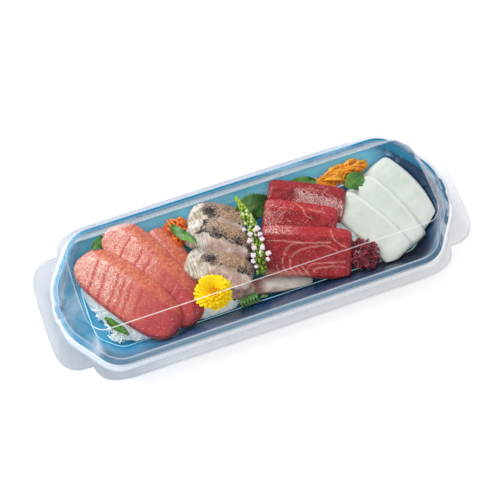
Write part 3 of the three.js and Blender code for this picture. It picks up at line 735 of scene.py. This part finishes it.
def sea_bream_material():
    nodes = Nodes("sea bream")
    flat = nodes.flat()
    fibres = nodes.noise(nodes.flat((0.12, 1.3, 0.3), 1.0), 0.9, 3, 0.6)
    patches = nodes.noise(flat, 0.2, 4, 0.62, 0.6)
    fine = nodes.noise(flat, 0.9, 3, 0.7)
    burnt = nodes.noise(nodes.flat((0.8, 1.3, 1), 0.4), 0.85, 2, 0.7, 0.6)
    grey = nodes.blend(fine, 0.4, 0.6, "917b6d", "cdb7a5")
    tan = nodes.blend(fine, 0.38, 0.62, "8f6a4a", "caa684")
    char = nodes.mask("char")
    black = nodes.maths("MULTIPLY_ADD", char, 0.3, burnt)
    base = nodes.layered(
        nodes.blend(patches, 0.4, 0.6, "c3a79b", "dccbbd"),
        (nodes.mask("low"), nodes.blend(patches, 0.4, 0.6, "b48d89", "d6b9b2")),
        (nodes.mask("end"), nodes.blend(fibres, 0.4, 0.58, "bfb09b", "efe8dc")),
        (nodes.mask("skin"), nodes.mix(nodes.mask("tan"), grey, tan)),
        (nodes.ramp(char, 0.15, 0.9, 0.4), "6f5a5c"),
        (nodes.ramp(black, 0.66, 0.76, 0.95), "16121a"),
    )
    return moist(nodes, base, 0.32, nodes.bump(fine, 0.3, 0.5), 0.1)


# Charred spots on the skin of each slice: place along and across, reach along and across, strength,
# in shares of the slice's length and half width
CHAR_SPOTS = {
    "sea_bream_back": [
        (-0.16, 0.4, 0.19, 0.5, 1), (0.12, 0.8, 0.12, 0.3, 0.6), (0.4, 0.1, 0.12, 0.4, 0.6)
    ],
    "sea_bream_second": [
        (-0.02, 0.25, 0.2, 0.5, 0.85), (0.28, 0.2, 0.12, 0.5, 1), (0.42, 0, 0.12, 0.5, 1)
    ],
    "sea_bream_third": [
        (-0.17, 0.35, 0.15, 0.4, 1), (0.36, 0.2, 0.15, 0.4, 1), (0.1, 0.2, 0.3, 0.3, 0.45)
    ],
    "sea_bream_front": [(0, 0.4, 0.2, 0.4, 0.2)],
}
CHAR_BORDERS = dict(sea_bream_back=0.35, sea_bream_second=1, sea_bream_third=0.3, sea_bream_front=0)


def sea_bream_style(local, top, spec):
    x, y, _ = local.T
    name, half, length = spec[0], spec[7] / 2, spec[6]
    wobble = waves(local, 11, 11)
    seed = sum(map(ord, name))
    across, along = y / half, x / length
    inside = np.minimum(across - 0.05 + 0.2 * wobble, 2.4 * (along + 0.3 + 0.08 * wobble))
    skin = smooth_step(-0.06, 0.16, inside)
    end = smooth_step(-0.08, -0.26, along + 0.1 * across + 0.05 * wobble)
    low = smooth_step(0.1, -0.6, across + 0.2 * wobble) * (1 - end)
    char = CHAR_BORDERS[name] * line_at(inside - 0.07, 0.1) * smooth_step(0.25, 0.1, along)
    for place_x, place_y, reach_x, reach_y, strength in CHAR_SPOTS[name]:
        away = ((along - place_x) / reach_x) ** 2 + ((across - place_y) / reach_y) ** 2
        char = np.maximum(char, strength * np.exp(-away))
    char *= smooth_step(-0.15, 0.08, inside)
    tan = smooth_step(-0.25, 0.15, along) * smooth_step(0.5, 0.25, along) * smooth_step(-0.3, 0.4, across)
    relief = (0.6 * waves(local, 10, seed + 1) + 0.2 * waves(local, 4, seed + 2)) * top
    if spec[1] is LOW_BREAM:
        skin, low = 0.2 * skin, np.ones(len(x))
    return relief, dict(skin=skin, char=char, end=end, low=0.85 * low, tan=0.8 * tan)


def red_tuna_material():
    nodes = Nodes("red tuna")
    specks = nodes.noise(nodes.flat((1, 1.3, 1), 0.1), 1.3, 1, 0.5)
    mottle = nodes.noise(nodes.flat((0.7, 1.3, 1), 0.2), 0.5, 5, 0.75)
    frost = nodes.maths("MULTIPLY_ADD", nodes.mask("frost"), 0.2, specks)
    base = nodes.layered(
        nodes.blend(nodes.noise(nodes.flat(), 0.13, 3), 0.35, 0.65, "8f0c1a", "aa1c25"),
        (nodes.mask("band"), "b52630"),
        (nodes.mask("dark"), "861a26"),
        (nodes.mask("pale"), "dc8f82"),
        (nodes.ramp(mottle, 0.52, 0.66, 0.35), "d0565a"),
        (nodes.ramp(mottle, 0.46, 0.34, 0.5), "7c0e1a"),
        (nodes.ramp(frost, 0.68, 0.76, 0.85), "f5dad6"),
        (nodes.times(nodes.mask("lines"), 0.75), "e8a29a"),
        # The back slice's crease is painted near black: painted shade in the groove.
        (nodes.mask("groove"), "54090f"),
    )
    return moist(nodes, base, 0.32, nodes.bump(specks, 0.2, 0.4), 0.08, (2.5, 0.5, 0.4), 0.2)


# Pale lines of sinew on the slices' tops: points along and across a slice, in millimetres
SINEWS = {
    "red_tuna_front": [
        ((-14.8, -14.5), (-15.3, -6.9), (-14.2, -0.5), (-11.2, 3.7), (-5.9, 5.7), (0.4, 5.7)),
        (
            (-10.7, -12.8), (-10.6, -6.3), (-8.3, -2.1), (-3.9, 0.8),
            (2.4, 3.2), (9.6, 4.4), (15.9, 4), (22.4, 1),
        ),
        ((1.7, -12.1), (2.5, -9.3), (6.5, -7.9), (13.7, -7.1), (20.9, -6.4), (28.1, -4.9)),
        ((5.4, -14.2), (6.7, -11.6), (12, -10), (19.2, -9.2), (27.4, -9.1)),
        ((15.9, 16.9), (16.4, 13.7), (18.4, 10.2), (22.2, 6.9), (27.8, 3.7)),
        ((-27.7, 6.4), (-17.7, 6.6), (-6.8, 5.9), (5.9, 5.8), (18.5, 7.1)),
        ((-20, -10), (-15.7, -17)),
        ((-15.4, -11), (-10, -17.4)),
        ((-10.9, -10.5), (-5, -17.6)),
        ((-6.6, -10), (-0.3, -17.6)),
        ((-2.6, -9.8), (4.4, -17.2)),
    ],
    "red_tuna_middle": [
        ((-6, 12.5), (-4, 11.3), (1, 8.2), (2.7, 3.8), (10.1, 2)),
        ((-15.9, -5), (-15.9, -2.3), (-13.8, 1.7), (-9.7, 5.7)),
        ((-22, 6), (-21.7, 3.7), (-20.5, -2.8)),
        ((4, 9), (10, 7.5), (17, 8)),
    ],
    "red_tuna_back": [((-4, 7), (4, 8.2), (14, 6.8), (22, 3))],
}
TUNA_CREASE = [((-14.5, -3), (-13.2, -0.5), (-10.6, 4.9), (-9.4, 8))]


def distance_to_path(x, y, path):
    """How far each point is from the nearest place on a line through a few points."""
    nearest = np.full(len(x), 1e3)
    for (ax, ay), (bx, by) in zip(path, path[1:]):
        dx, dy = bx - ax, by - ay
        share = np.clip(((x - ax) * dx + (y - ay) * dy) / (dx * dx + dy * dy), 0, 1)
        nearest = np.minimum(nearest, np.hypot(x - ax - share * dx, y - ay - share * dy))
    return nearest


def curve_through(path):
    """A smoother line through the same few points."""
    path = np.array(path)
    steps = np.arange(len(path))
    fine = np.linspace(0, len(path) - 1, 6 * len(path))
    return np.column_stack([smoothed(np.interp(fine, steps, path[:, i]), 6) for i in (0, 1)])


def lines_along(x, y, paths, width):
    lines = np.zeros(len(x))
    for path in paths:
        lines = np.maximum(lines, line_at(distance_to_path(x, y, curve_through(path)), width))
    return lines


def red_tuna_style(local, top, spec):
    x, y, _ = local.T
    name, half, length = spec[0], spec[7] / 2, spec[6]
    band = bevel_share(local, spec)
    wobble = waves(local, 7, 21)
    lines = lines_along(x + 0.5 * wobble, y + 0.5 * wobble, SINEWS[name], 0.34)
    frost = smooth_step(0.0, 0.7, waves(local, 17, sum(map(ord, name))))
    groove, dark, pale = np.zeros((3, len(x)))
    if name == "red_tuna_front":
        frost = 0.85 * band * smooth_step(4, -18, x)
        pale = 0.8 * smooth_step(-12, -17, y) * smooth_step(8, -6, x)
    elif name == "red_tuna_middle":
        frost = 0.6 * smooth_step(-0.1 * length, -0.4 * length, x) + 0.4 * frost
        lines *= 0.8
    else:
        dark = 0.6 * smooth_step(-4, 6, y + 3 * wobble)
        # The crease: a groove in the relief, painted dark as shade by the material.
        groove = lines_along(x, y, TUNA_CREASE, 0.45)
        lines *= 0.5
        spot = smooth_step(9, 3, np.abs(y - 1 + 0.15 * x)) * smooth_step(-12, -4, x)
        frost = np.maximum(0.45 * frost, spot)
    relief = -0.6 * groove + 0.22 * waves(local, 7, 23) * top
    frost *= np.maximum(top, 0.3)
    lines *= np.maximum(top, band)
    return relief, dict(band=band, frost=frost, lines=lines, groove=groove, dark=dark, pale=pale)


def squid_material():
    nodes = Nodes("squid")
    cloud = nodes.noise(nodes.flat((1, 0.5, 1)), 0.09, 3, 0.5)
    base = nodes.blend(cloud, 0.3, 0.7, "ced7cd", "dce1da")
    base = nodes.mix(nodes.mask("band"), base, "eef1ee")
    fine = nodes.noise(nodes.flat(), 0.8, 2, 0.5)
    return moist(nodes, base, 0.42, nodes.bump(fine, 0.12, 0.4), 0.3, (1.2, 1.3, 1.2), 0.1)


def squid_style(local, top, spec):
    relief = 0.25 * waves(local, 18, sum(map(ord, spec[0]))) * top
    return relief, dict(band=bevel_share(local, spec))


def silver_material():
    nodes = Nodes("silver fish")
    streaks = nodes.noise(nodes.flat((0.25, 1.8, 1)), 0.6, 4, 0.65)
    base = nodes.layered(
        nodes.blend(streaks, 0.35, 0.6, "a38a78", "dccdbd"),
        (nodes.mask("pink"), nodes.blend(streaks, 0.4, 0.6, "a8655f", "c79a8e")),
        # The shine band: the silver skin painted near white, partly its own silver and partly a painted
        # highlight.
        (nodes.times(nodes.ramp(streaks, 0.25, 0.45), nodes.mask("shine")), "fdfbf6"),
    )
    return moist(nodes, base, 0.2, nodes.bump(streaks, 0.2, 0.4), 0.08)


def silver_style(local, top, spec):
    x, y, _ = local.T
    wobble = waves(local, 9, 31)
    # Shine: a band along the silver skin, partly its own silver and partly a painted highlight.
    shine = line_at(y + 0.5 - 0.05 * x + 1.2 * wobble, 3.8) * smooth_step(-14, -2, x)
    pink = smooth_step(4, -10, x + 4 * wobble)
    return 0.2 * wobble * top, dict(shine=shine, pink=pink)


# How each kind of slice is shaped and coloured, and its slot
KINDS = {
    "fatty_tuna": (fatty_tuna_style, fatty_tuna_material(), "fatty_tuna"),
    "sea_bream": (sea_bream_style, sea_bream_material(), "sea_bream"),
    "red_tuna": (red_tuna_style, red_tuna_material(), "red_tuna"),
    "squid": (squid_style, squid_material(), "squid"),
    "silver": (silver_style, silver_material(), "silver_fish"),
}


# Shreds, leaves, flowers and seaweed


class Top:
    """The upper side of a solid part, in millimetres, for pieces to lie on."""

    def __init__(self, node):
        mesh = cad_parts[node].data
        self.points = np.array([v.co for v in mesh.vertices]) / MM
        self.faces = [tuple(f.vertices) for f in mesh.polygons]
        self.tree = BVHTree.FromPolygons(self.points.tolist(), self.faces)
        self.low, self.high = self.points.min(0), self.points.max(0)

    def height(self, x, y):
        hit = self.tree.ray_cast((x, y, 60), (0, 0, -1))[0]
        return None if hit is None else hit.z

    def sunk(self, depth):
        """The solid's own points with everything above its foot lowered."""
        points = self.points.copy()
        points[:, 2] -= depth * smooth_step(self.low[2] + 1, self.low[2] + 1 + 2 * depth, points[:, 2])
        return points


# Where a strand that has left its heap still lies in the tray: along, across, and both together
STRAND_ROOM = (112, 29.5, 136)
STRAND_STEP = 1.2


def in_tray(x, y):
    along, across = abs(x), abs(y)
    return along <= STRAND_ROOM[0] and across <= STRAND_ROOM[1] and along + across <= STRAND_ROOM[2]


def lay_strands(pile, top, rng, count, length, width, thick, heading, spread, bend, lift, stray):
    """Strands that follow the top of a heap and cross over one another."""
    made = tries = 0
    step = STRAND_STEP
    while made < count and tries < 30 * count:
        tries += 1
        x, y = rng.uniform(top.low[:2], top.high[:2])
        direction = heading + rng.normal() * spread
        curl = rng.normal() * bend
        path = []
        outside = 0
        for _ in range(int(length * rng.uniform(0.6, 1.1) / step)):
            z = top.height(x, y)
            outside += z is None
            if outside > stray or z is None and not in_tray(x, y):
                break
            path.append((x, y, top.low[2] + 0.8 if z is None else z))
            direction += curl * step + rng.normal() * 0.05
            x += step * math.cos(direction)
            y += step * math.sin(direction)
        if len(path) < 5:
            continue
        path = np.array(path)
        arch = np.sin(np.linspace(0.3, math.pi - 0.3, len(path)))
        path[:, 2] = smoothed(path[:, 2], 3) - 0.3 * thick + lift * rng.random() * arch
        steps = np.arange(len(path))
        taper = np.minimum(1, 0.45 + 0.3 * np.minimum(steps, steps[::-1]))
        wide = width * rng.uniform(0.75, 1.2) * taper
        roll = rng.uniform(-0.7, 0.7) + np.linspace(0, rng.normal() * 1.2, len(path))
        pile.add(*tube(path, wide, thick * taper, 6, roll), tone=rng.random())
        made += 1


def radish_material():
    nodes = Nodes("radish shreds")
    base = nodes.mix(nodes.mask("tone"), "d9e8ea", "ffffff")
    inner = dict(Subsurface_Weight=0.5, Subsurface_Radius=(1.5, 1.6, 1.7))
    # The faint emission is painted light that brightens the shreds.
    coat_and_painted_glow = dict(Coat_Weight=0.5, Coat_Roughness=0.1, Emission_Color=base, Emission_Strength=0.12)
    return nodes.principled(base, 0.22, **inner, **coat_and_painted_glow)


def carrot_material(name, deep, bright):
    nodes = Nodes(name)
    grain = nodes.ramp(nodes.noise(nodes.place(0.9), 1, 2), 0.5, 0.7)
    base = nodes.mix(nodes.mask("tone"), deep, bright)
    base = nodes.mix(nodes.times(grain, 0.2), base, "ffb540")
    return moist(nodes, base, 0.33, None, 0.2, (1.5, 0.7, 0.2), 0.35)


# Name, seed, strands, length, width, thick, heading in radians, spread
RADISH_BEDS = [
    ("radish_bed_left", 41, 560, 30, 1.15, 0.8, -1, 0.9),
    ("radish_bed_middle", 42, 150, 24, 1.05, 0.75, -0.2, 0.9),
    ("radish_bed_right", 43, 460, 28, 1.1, 0.8, -0.3, 0.9),
]
# Name, darkest and lightest colour, then as above
CARROT_HEAPS = [
    ("carrot_left", "e04f06", "ff8f2c", 51, 42, 19, 2, 1.4, -1.1, 0.55),
    ("carrot_right", "fa8406", "ffba30", 52, 62, 23, 2, 1.4, 0.3, 0.42),
]
# How much strands bend, how high they arch, and how many steps they may stray off the heap
RADISH_LIE = (0.1, 1.8, 6)
CARROT_LIE = (0.02, 3.4, 3)
# How far the heap under the strands is sunk, and its tone
RADISH_CORE = (2.2, 0.2)
CARROT_CORE = (2.6, 0.4)


def make_heap(name, material, depth, tone, seed, *strands):
    """A heap of shreds: the solid's own heap, sunk a little, under a layer of strands."""
    top, pile = Top(name), Pile("tone")
    pile.add(top.sunk(depth), top.faces, tone=tone)
    lay_strands(pile, top, np.random.default_rng(seed), *strands)
    pile.build(name + "_strands", material, [name], name.split("_")[0])


def make_shreds():
    white = radish_material()
    for name, *strands in RADISH_BEDS:
        make_heap(name, white, *RADISH_CORE, *strands, *RADISH_LIE)
    for name, deep, bright, *strands in CARROT_HEAPS:
        orange = carrot_material(name + " shreds", deep, bright)
        make_heap(name, orange, *CARROT_CORE, *strands, *CARROT_LIE)


# Node, place, degrees turned about X, Y and Z, then length, width, wave, teeth and painted highlight
LEAVES = [
    ("shiso_leaf", (10, 31, 15), (38, 0, 8), (30, 19, 1.4, 15, 0.7)),
    ("leaf_left_of_bream", (-43.5, 24, 24.2), (0, 14, 118), (29, 7, 1, 12, 0.8)),
    ("leaf_behind_squid", (84, 26, 15.5), (20, 0, 20), (16, 13, 1.2, 9, 1)),
    ("leaf_under_fatty_tuna", (-104.5, -19.5, 10), (-10, 8, -52), (20, 6, 0.8, 9, 0.5)),
    ("leaf_near_edge", (-14, -31.5, 7), (25, 0, 4), (19, 8, 1.1, 8, 0.6)),
    ("leaf_behind_red_tuna", (50, 37.2, 16), (24, 0, -12), (19, 8, 0.8, 10, 0.5)),
    ("leaf_behind_fatty_tuna", (-97, 40, 18), (20, 0, 24), (15, 7, 0.7, 8, 0.4)),
]
LEAF_THICKNESS = 0.4


def turned(points, angles):
    """Turns points about X, then Y, then Z, by degrees."""
    for axis, angle in enumerate(angles):
        c, s = math.cos(math.radians(angle)), math.sin(math.radians(angle))
        a, b = ((1, 2), (2, 0), (0, 1))[axis]
        first, second = points[:, a] * c - points[:, b] * s, points[:, a] * s + points[:, b] * c
        points = points.copy()
        points[:, a], points[:, b] = first, second
    return points


def leaf_material():
    nodes = Nodes("green leaf")
    base = nodes.layered(
        nodes.blend(nodes.noise(nodes.place(0.25), 1, 3), 0.35, 0.65, "265a1c", "418a2c"),
        # Painted highlight: lighter green on one side of each blade.
        (nodes.mask("light"), "79b03e"),
        (nodes.times(nodes.mask("vein"), 0.45), "8fb866"),
    )
    return nodes.principled(base, 0.4, Subsurface_Weight=0.08, Subsurface_Radius=(0.3, 0.8, 0.2))


def leaf_blade(length, width, wave, teeth, light):
    """A wavy toothed blade along X: its points, its faces, and how much vein and painted highlight each
    point shows.
    """
    rings, veins, lights = [], [], []
    s = np.linspace(-1, 1, 15)
    for t in np.linspace(0.002, 0.998, int(length * 3)):
        half = (width / 2) * (0.05 + 0.95 * math.sin(math.pi * min(1, 0.04 + 0.96 * t)) ** 0.75)
        tooth = 0.09 * width * (((t * teeth) % 1) - 0.6) * min(1, 8 * t, 8 * (1 - t))
        y = half * s + tooth * np.abs(s) ** 5 * np.sign(s)
        side_vein = (t * length - 0.9 * np.abs(y)) % (length / 7) - length / 14
        vein = np.clip(line_at(y, 0.35) + 0.7 * line_at(side_vein, 0.3), 0, 1) * (np.abs(s) < 0.93)
        frill = np.abs(s) * math.sin(9 * t + 0.6) + 0.8 * math.cos(3 * t)
        frill = wave * (frill + 0.35 * np.abs(s) ** 2 * np.sin(26 * t + 2 * s)) + 0.05 * width * s**2
        row = np.column_stack([np.full(len(s), length * (t - 0.5)), y, frill - 0.25 * vein])
        rise = (0, 0, LEAF_THICKNESS / 2)
        rings.append(np.vstack([(row - rise)[::-1], row + rise]))
        # Painted highlight, stronger on one side and in waves along the blade.
        shade = light * (0.5 + 0.5 * math.sin(5 * t + 1)) * np.clip(0.5 + 0.7 * s, 0, 1)
        veins += [vein[::-1], vein]
        lights += [shade[::-1], shade]
    return *closed_loft(rings), np.concatenate(veins), np.concatenate(lights)


# The frilly sprig that one leaf stands for: leaflets along its stem, all in millimetres and radians
SPRIG = "leaf_near_edge"
LEAFLET_SIZE = (5.4, 2.3)
LEAFLET_PITCH = 2.3
LEAFLET_LEAN = 1.05


def sprig_blades(length):
    """Leaflets along a stem: pairs that lean forwards, and one at the tip."""
    rng = np.random.default_rng(91)
    long, wide = LEAFLET_SIZE
    leaflets = [(length / 2 - 0.5 * long, 0)]
    for x in np.arange(-length / 2 + 2, length / 2 - long, LEAFLET_PITCH):
        leaflets += [(x, LEAFLET_LEAN), (x, -LEAFLET_LEAN)]
    for x, lean in leaflets:
        turn = (0, 0, math.degrees(lean + rng.uniform(-0.2, 0.2)))
        size = long * rng.uniform(0.85, 1.1)
        points, *rest = leaf_blade(size, wide, 0.5, 5, 1.5)
        yield turned(points + (0.5 * size, 0, 0), turn) + (x, 0, rng.uniform(0, 1)), *rest


def make_leaf(node, place, angles, blade, material):
    pile = Pile("vein", "light")
    blades = sprig_blades(blade[0]) if node == SPRIG else [leaf_blade(*blade)]
    for points, faces, vein, light in blades:
        pile.add(turned(points, angles) + place, faces, vein=vein, light=light)
    pile.build(node + "_blade", material, [node], "leaf")


FLOWER_AT = np.array((-37.4, -23, 20.2))
PETAL_THICKNESS = 0.35
# Petals, reach, rise in degrees, width and height of the root, in millimetres, of each row
PETAL_ROWS = [
    (24, 13.4, 2, 3.7, 1.0),
    (22, 12.4, 10, 3.5, 1.9),
    (20, 11.0, 19, 3.2, 2.8),
    (17, 9.2, 28, 2.9, 3.7),
    (13, 7.0, 38, 2.6, 4.5),
    (9, 4.6, 52, 2.2, 5.2),
    (5, 2.6, 68, 1.9, 5.8),
]


def petal_material():
    nodes = Nodes("yellow petals")
    # Deeper yellow towards the roots is painted shade between the petals; the faint emission is painted
    # light.
    base = nodes.mix(nodes.mask("tip"), "f5b000", "ffe60c")
    base = nodes.mix(nodes.mask("dot"), base, "e07f0a")
    inner = dict(Subsurface_Weight=0.25, Subsurface_Radius=(1, 0.8, 0.1), Specular_IOR_Level=0.25)
    return nodes.principled(base, 0.5, Emission_Color="ffc800", Emission_Strength=0.08, **inner)


def petal(root, reach, rise, width, height):
    """A cupped petal along +X with a round tip."""
    rings, tips = [], []
    s = np.linspace(-1, 1, 7)
    length = (reach - root) / math.cos(rise)
    for t in np.linspace(0, 1, 9):
        round_tip = math.sqrt(max(0.02, 1 - max(0, (t - 0.68) / 0.34) ** 2))
        half = width / 2 * (0.45 + 0.55 * min(1, 1.6 * t)) * round_tip
        along = length * t
        lift = 0.12 * length * t**2 + 0.22 * half * s**2
        x = root + along * math.cos(rise) - lift * math.sin(rise)
        z = height + along * math.sin(rise) + lift * math.cos(rise)
        upper = np.column_stack([x, half * s, z])
        rings.append(np.vstack([(upper - (0, 0, PETAL_THICKNESS))[::-1], upper]))
        tips.append(np.full(2 * len(s), t))
    return *closed_loft(rings), np.concatenate(tips)


def make_flower():
    rng = np.random.default_rng(61)
    pile = Pile("tip", "dot")
    for row, (count, reach, rise, width, height) in enumerate(PETAL_ROWS):
        for i in range(count):
            angle = 360 * (i + 0.5 * (row % 2) + rng.uniform(-0.15, 0.15)) / count
            tilt = math.radians(rise + rng.uniform(-5, 5))
            points, faces, tip = petal(0.6, reach * rng.uniform(0.93, 1.03), tilt, width, height - 1.2)
            pile.add(turned(points, (0, 0, angle)) + FLOWER_AT, faces, tip=smooth_step(0.1, 0.75, tip))
    ball, faces = unit_ball(2)
    pile.add(ball * (5.4, 5.4, 3.6) + FLOWER_AT + (0, 0, 2), faces, tip=0.3)
    pile.add(ball * (2, 2, 7) + FLOWER_AT + (0, 0, -6), faces, tip=0.2)
    for x, y in ((-1.6, 0.9), (0.9, 1.5), (2, -0.6), (-0.6, -1.6)):
        pile.add(ball * 0.45 + FLOWER_AT + (x, y, 7.2), faces, tip=0.2, dot=1)
    pile.build("chrysanthemum_petals", petal_material(), ["chrysanthemum"], "petals")


def unit_ball(steps):
    mesh = bmesh.new()
    bmesh.ops.create_icosphere(mesh, subdivisions=steps, radius=1)
    points = np.array([v.co for v in mesh.verts])
    faces = [tuple(v.index for v in f.verts) for f in mesh.faces]
    mesh.free()
    return points, faces


SPIKE_POINTS = ((0.5, 38.5, 22.5), (2.5, 8, 25), (-2, -21, 21))
BUDS, CREAM_BUDS, BLOSSOMS = 240, 26, 13


def spike_material():
    nodes = Nodes("flower spike")
    base = nodes.mix(nodes.mask("tone"), "557f22", "a9c93c")
    for mask, hue in (("cream", "eef0c2"), ("blossom", "fbf0f2"), ("pink", "e2b4cf")):
        base = nodes.mix(nodes.mask(mask), base, hue)
    return nodes.principled(base, 0.45, Subsurface_Weight=0.2, Subsurface_Radius=(0.8, 0.8, 0.5))


def make_spike():
    """A bent spike of small buds, with cream buds and open blossoms lower down."""
    rng = np.random.default_rng(71)
    tip, middle, foot = (np.array(p, float) for p in SPIKE_POINTS)
    through = 2 * middle - 0.5 * (tip + foot)
    pile = Pile("tone", "cream", "blossom", "pink")
    small, small_faces = unit_ball(1)
    large, large_faces = unit_ball(2)

    def at(t):
        return (1 - t) ** 2 * tip + 2 * t * (1 - t) * through + t**2 * foot

    def around(t, off, angle):
        return at(t) + np.array((off * math.cos(angle), 0, 0.75 * off * math.sin(angle)))

    def stalk(t, end, thick):
        pile.add(*tube(np.linspace(at(t), end, 4), thick, thick, 5), tone=0.2)

    def bud(t, off, angle, size, **masks):
        centre = around(t, off, angle)
        pile.add(small * (size, 1.25 * size, size) + centre, small_faces, **masks)
        stalk(t, centre, 0.5)

    pile.add(*tube([at(t) for t in np.linspace(0, 1, 40)], 1.5, 1.5, 8), tone=0.15)
    for i in range(BUDS):
        t = ((i + 0.5) / BUDS) ** 1.05
        off = 0.5 + 3.4 * smooth_step(0, 0.38, t + 0.04) * rng.uniform(0.5, 1)
        turn = 2.4 * i + rng.uniform(-0.7, 0.7)
        size = rng.uniform(0.7, 1.1)
        bud(t, off, turn, size, tone=np.clip(1 - 0.8 * t + rng.uniform(-0.4, 0.4), 0, 1))
    for i in range(CREAM_BUDS):
        off, turn = rng.uniform(2.4, 3.8), rng.uniform(0.1, math.pi - 0.1)
        bud(0.22 + 0.6 * (i + 0.5) / CREAM_BUDS, off, turn, rng.uniform(0.9, 1.25), cream=0.9)
    for i in range(BLOSSOMS):
        t = 0.44 + 0.5 * (i + 0.5) / BLOSSOMS
        off_side = rng.uniform(-0.1, 0.9)
        angle = 0.25 + off_side if i % 2 else math.pi - 0.25 - off_side
        centre = around(t, rng.uniform(3.6, 6.2), angle) + (0, rng.uniform(-1, 1), 0.8)
        size = rng.uniform(1.25, 1.75)
        pink = rng.uniform(0, 0.35)
        pile.add(large * size * 0.8 + centre, large_faces, blossom=1, pink=pink)
        for k in range(5):
            turn = 2 * math.pi * (k + rng.random()) / 5
            lobe = np.array((math.cos(turn), math.sin(turn), 0.35)) * size * 0.62
            pile.add(large * size * 0.62 + centre + lobe, large_faces, blossom=1, pink=pink)
        stalk(t, centre, 0.7)
    pile.build("spike_buds", spike_material(), ["shiso_flower_spike"], "flower_spike")


SEAWEED_AT = (69, -28, 12)


def seaweed_material():
    nodes = Nodes("red seaweed")
    cloud = nodes.noise(nodes.place(0.35), 1, 3)
    base = nodes.blend(cloud, 0.4, 0.6, "5f101d", "922436")
    base = nodes.mix(nodes.mask("tip"), base, "bc4c60")
    return moist(nodes, base, 0.28, None, 0.15, (1, 0.3, 0.3), 0.4)


def frond(pile, rng, start, direction, length, width, forks):
    """A ruffled strip that splits at its end."""
    steps = max(5, int(length / 0.6))
    path = [np.array(start, float)]
    for _ in range(steps):
        direction = unit(direction + rng.normal(size=3) * 0.14)
        path.append(path[-1] + direction * length / steps)
    path = np.array(path)
    t = np.linspace(0, 1, len(path))
    wide = width * (0.7 + 0.35 * np.sin(t * rng.uniform(9, 14) + rng.uniform(0, 6))) * (1 - 0.3 * t)
    points, faces = tube(path, wide, 0.55, 6, rng.uniform(0, 3) + t * rng.normal() * 1.5)
    tips = np.repeat(t, 6) * (0.9 if forks == 0 else 0.35) * rng.uniform(0.4, 1)
    pile.add(points, faces, tip=tips)
    if forks:
        for _ in range(3):
            branch = unit(direction + rng.normal(size=3) * 0.75)
            frond(pile, rng, path[-1], branch, length * rng.uniform(0.35, 0.6), width * 0.85, forks - 1)


def make_seaweed():
    rng = np.random.default_rng(81)
    pile = Pile("tip")
    ball, faces = unit_ball(3)
    lumps = 1 + 0.12 * waves(ball * 10, 5, 82)
    pile.add(ball * lumps[:, None] * (8.5, 9.5, 5) + np.array(SEAWEED_AT), faces, tip=0)
    for _ in range(130):
        direction = unit(rng.normal(size=3) * (1, 1, 0.6) + (0, 0, 0.55))
        start = np.array(SEAWEED_AT) + direction * (7, 8, 4.4)
        frond(pile, rng, start, direction, rng.uniform(2.2, 4.2), 2.3, 1)
    pile.build("seaweed_fronds", seaweed_material(), ["red_seaweed"], "seaweed")


# Stage: camera, floor and light

CAMERA_TARGET = Vector((-3.6, -1.34, 20)) * MM
CAMERA_DISTANCE = 838.9 * MM
CAMERA_AZIMUTH = math.radians(-20.05)
CAMERA_ELEVATION = math.radians(64.35)
CAMERA_LENS = 89.45


def put_in_scene(name, data, place, target=(0, 0, 0)):
    """A camera or a light at a place that looks at a target."""
    made = bpy.data.objects.new(name, data)
    made.location = place
    made.rotation_mode = "QUATERNION"
    made.rotation_quaternion = (Vector(target) - Vector(place)).to_track_quat("-Z", "Y")
    bpy.context.scene.collection.objects.link(made)
    return made


def make_camera():
    data = bpy.data.cameras.new("camera")
    data.lens = CAMERA_LENS
    data.sensor_width = 36
    data.clip_start = 0.01
    data.clip_end = 20
    flat = math.cos(CAMERA_ELEVATION)
    side, back = math.sin(CAMERA_AZIMUTH) * flat, -math.cos(CAMERA_AZIMUTH) * flat
    off = Vector((side, back, math.sin(CAMERA_ELEVATION))) * CAMERA_DISTANCE
    bpy.context.scene.camera = put_in_scene("camera", data, CAMERA_TARGET + off, CAMERA_TARGET)


def make_floor():
    bpy.ops.mesh.primitive_plane_add(size=12, location=(0, 0, -0.0002))
    floor = bpy.context.object
    floor.name = "floor"
    white = (0.93, 0.93, 0.935, 1)
    pale = Nodes("white floor").principled(white, 0.6, Emission_Color=white, Emission_Strength=0.54)
    floor.data.materials.append(pale)


def add_area_light(name, place, size, power):
    data = bpy.data.lights.new(name, "AREA")
    data.size = size
    data.energy = power
    put_in_scene(name, data, place)


def make_lights():
    world = bpy.data.worlds.new("pale room")
    world.use_nodes = True
    sky = world.node_tree.nodes["Background"].inputs
    sky["Color"].default_value = (1, 0.985, 0.965, 1)
    sky["Strength"].default_value = 0.55
    bpy.context.scene.world = world
    add_area_light("key", (-0.55, 0.75, 0.85), 0.8, 14)
    add_area_light("front", (0.7, -0.9, 0.8), 0.5, 2.5)


make_tray()
make_lid()
for spec in SLICES:
    make_slice(spec, *next(KINDS[kind] for kind in KINDS if spec[0].startswith(kind)))
make_shreds()
LEAF_GREEN = leaf_material()
for leaf in LEAVES:
    make_leaf(*leaf, LEAF_GREEN)
make_flower()
make_spike()
make_seaweed()
make_camera()
make_floor()
make_lights()
bpy.context.scene.view_settings.view_transform = "Standard"
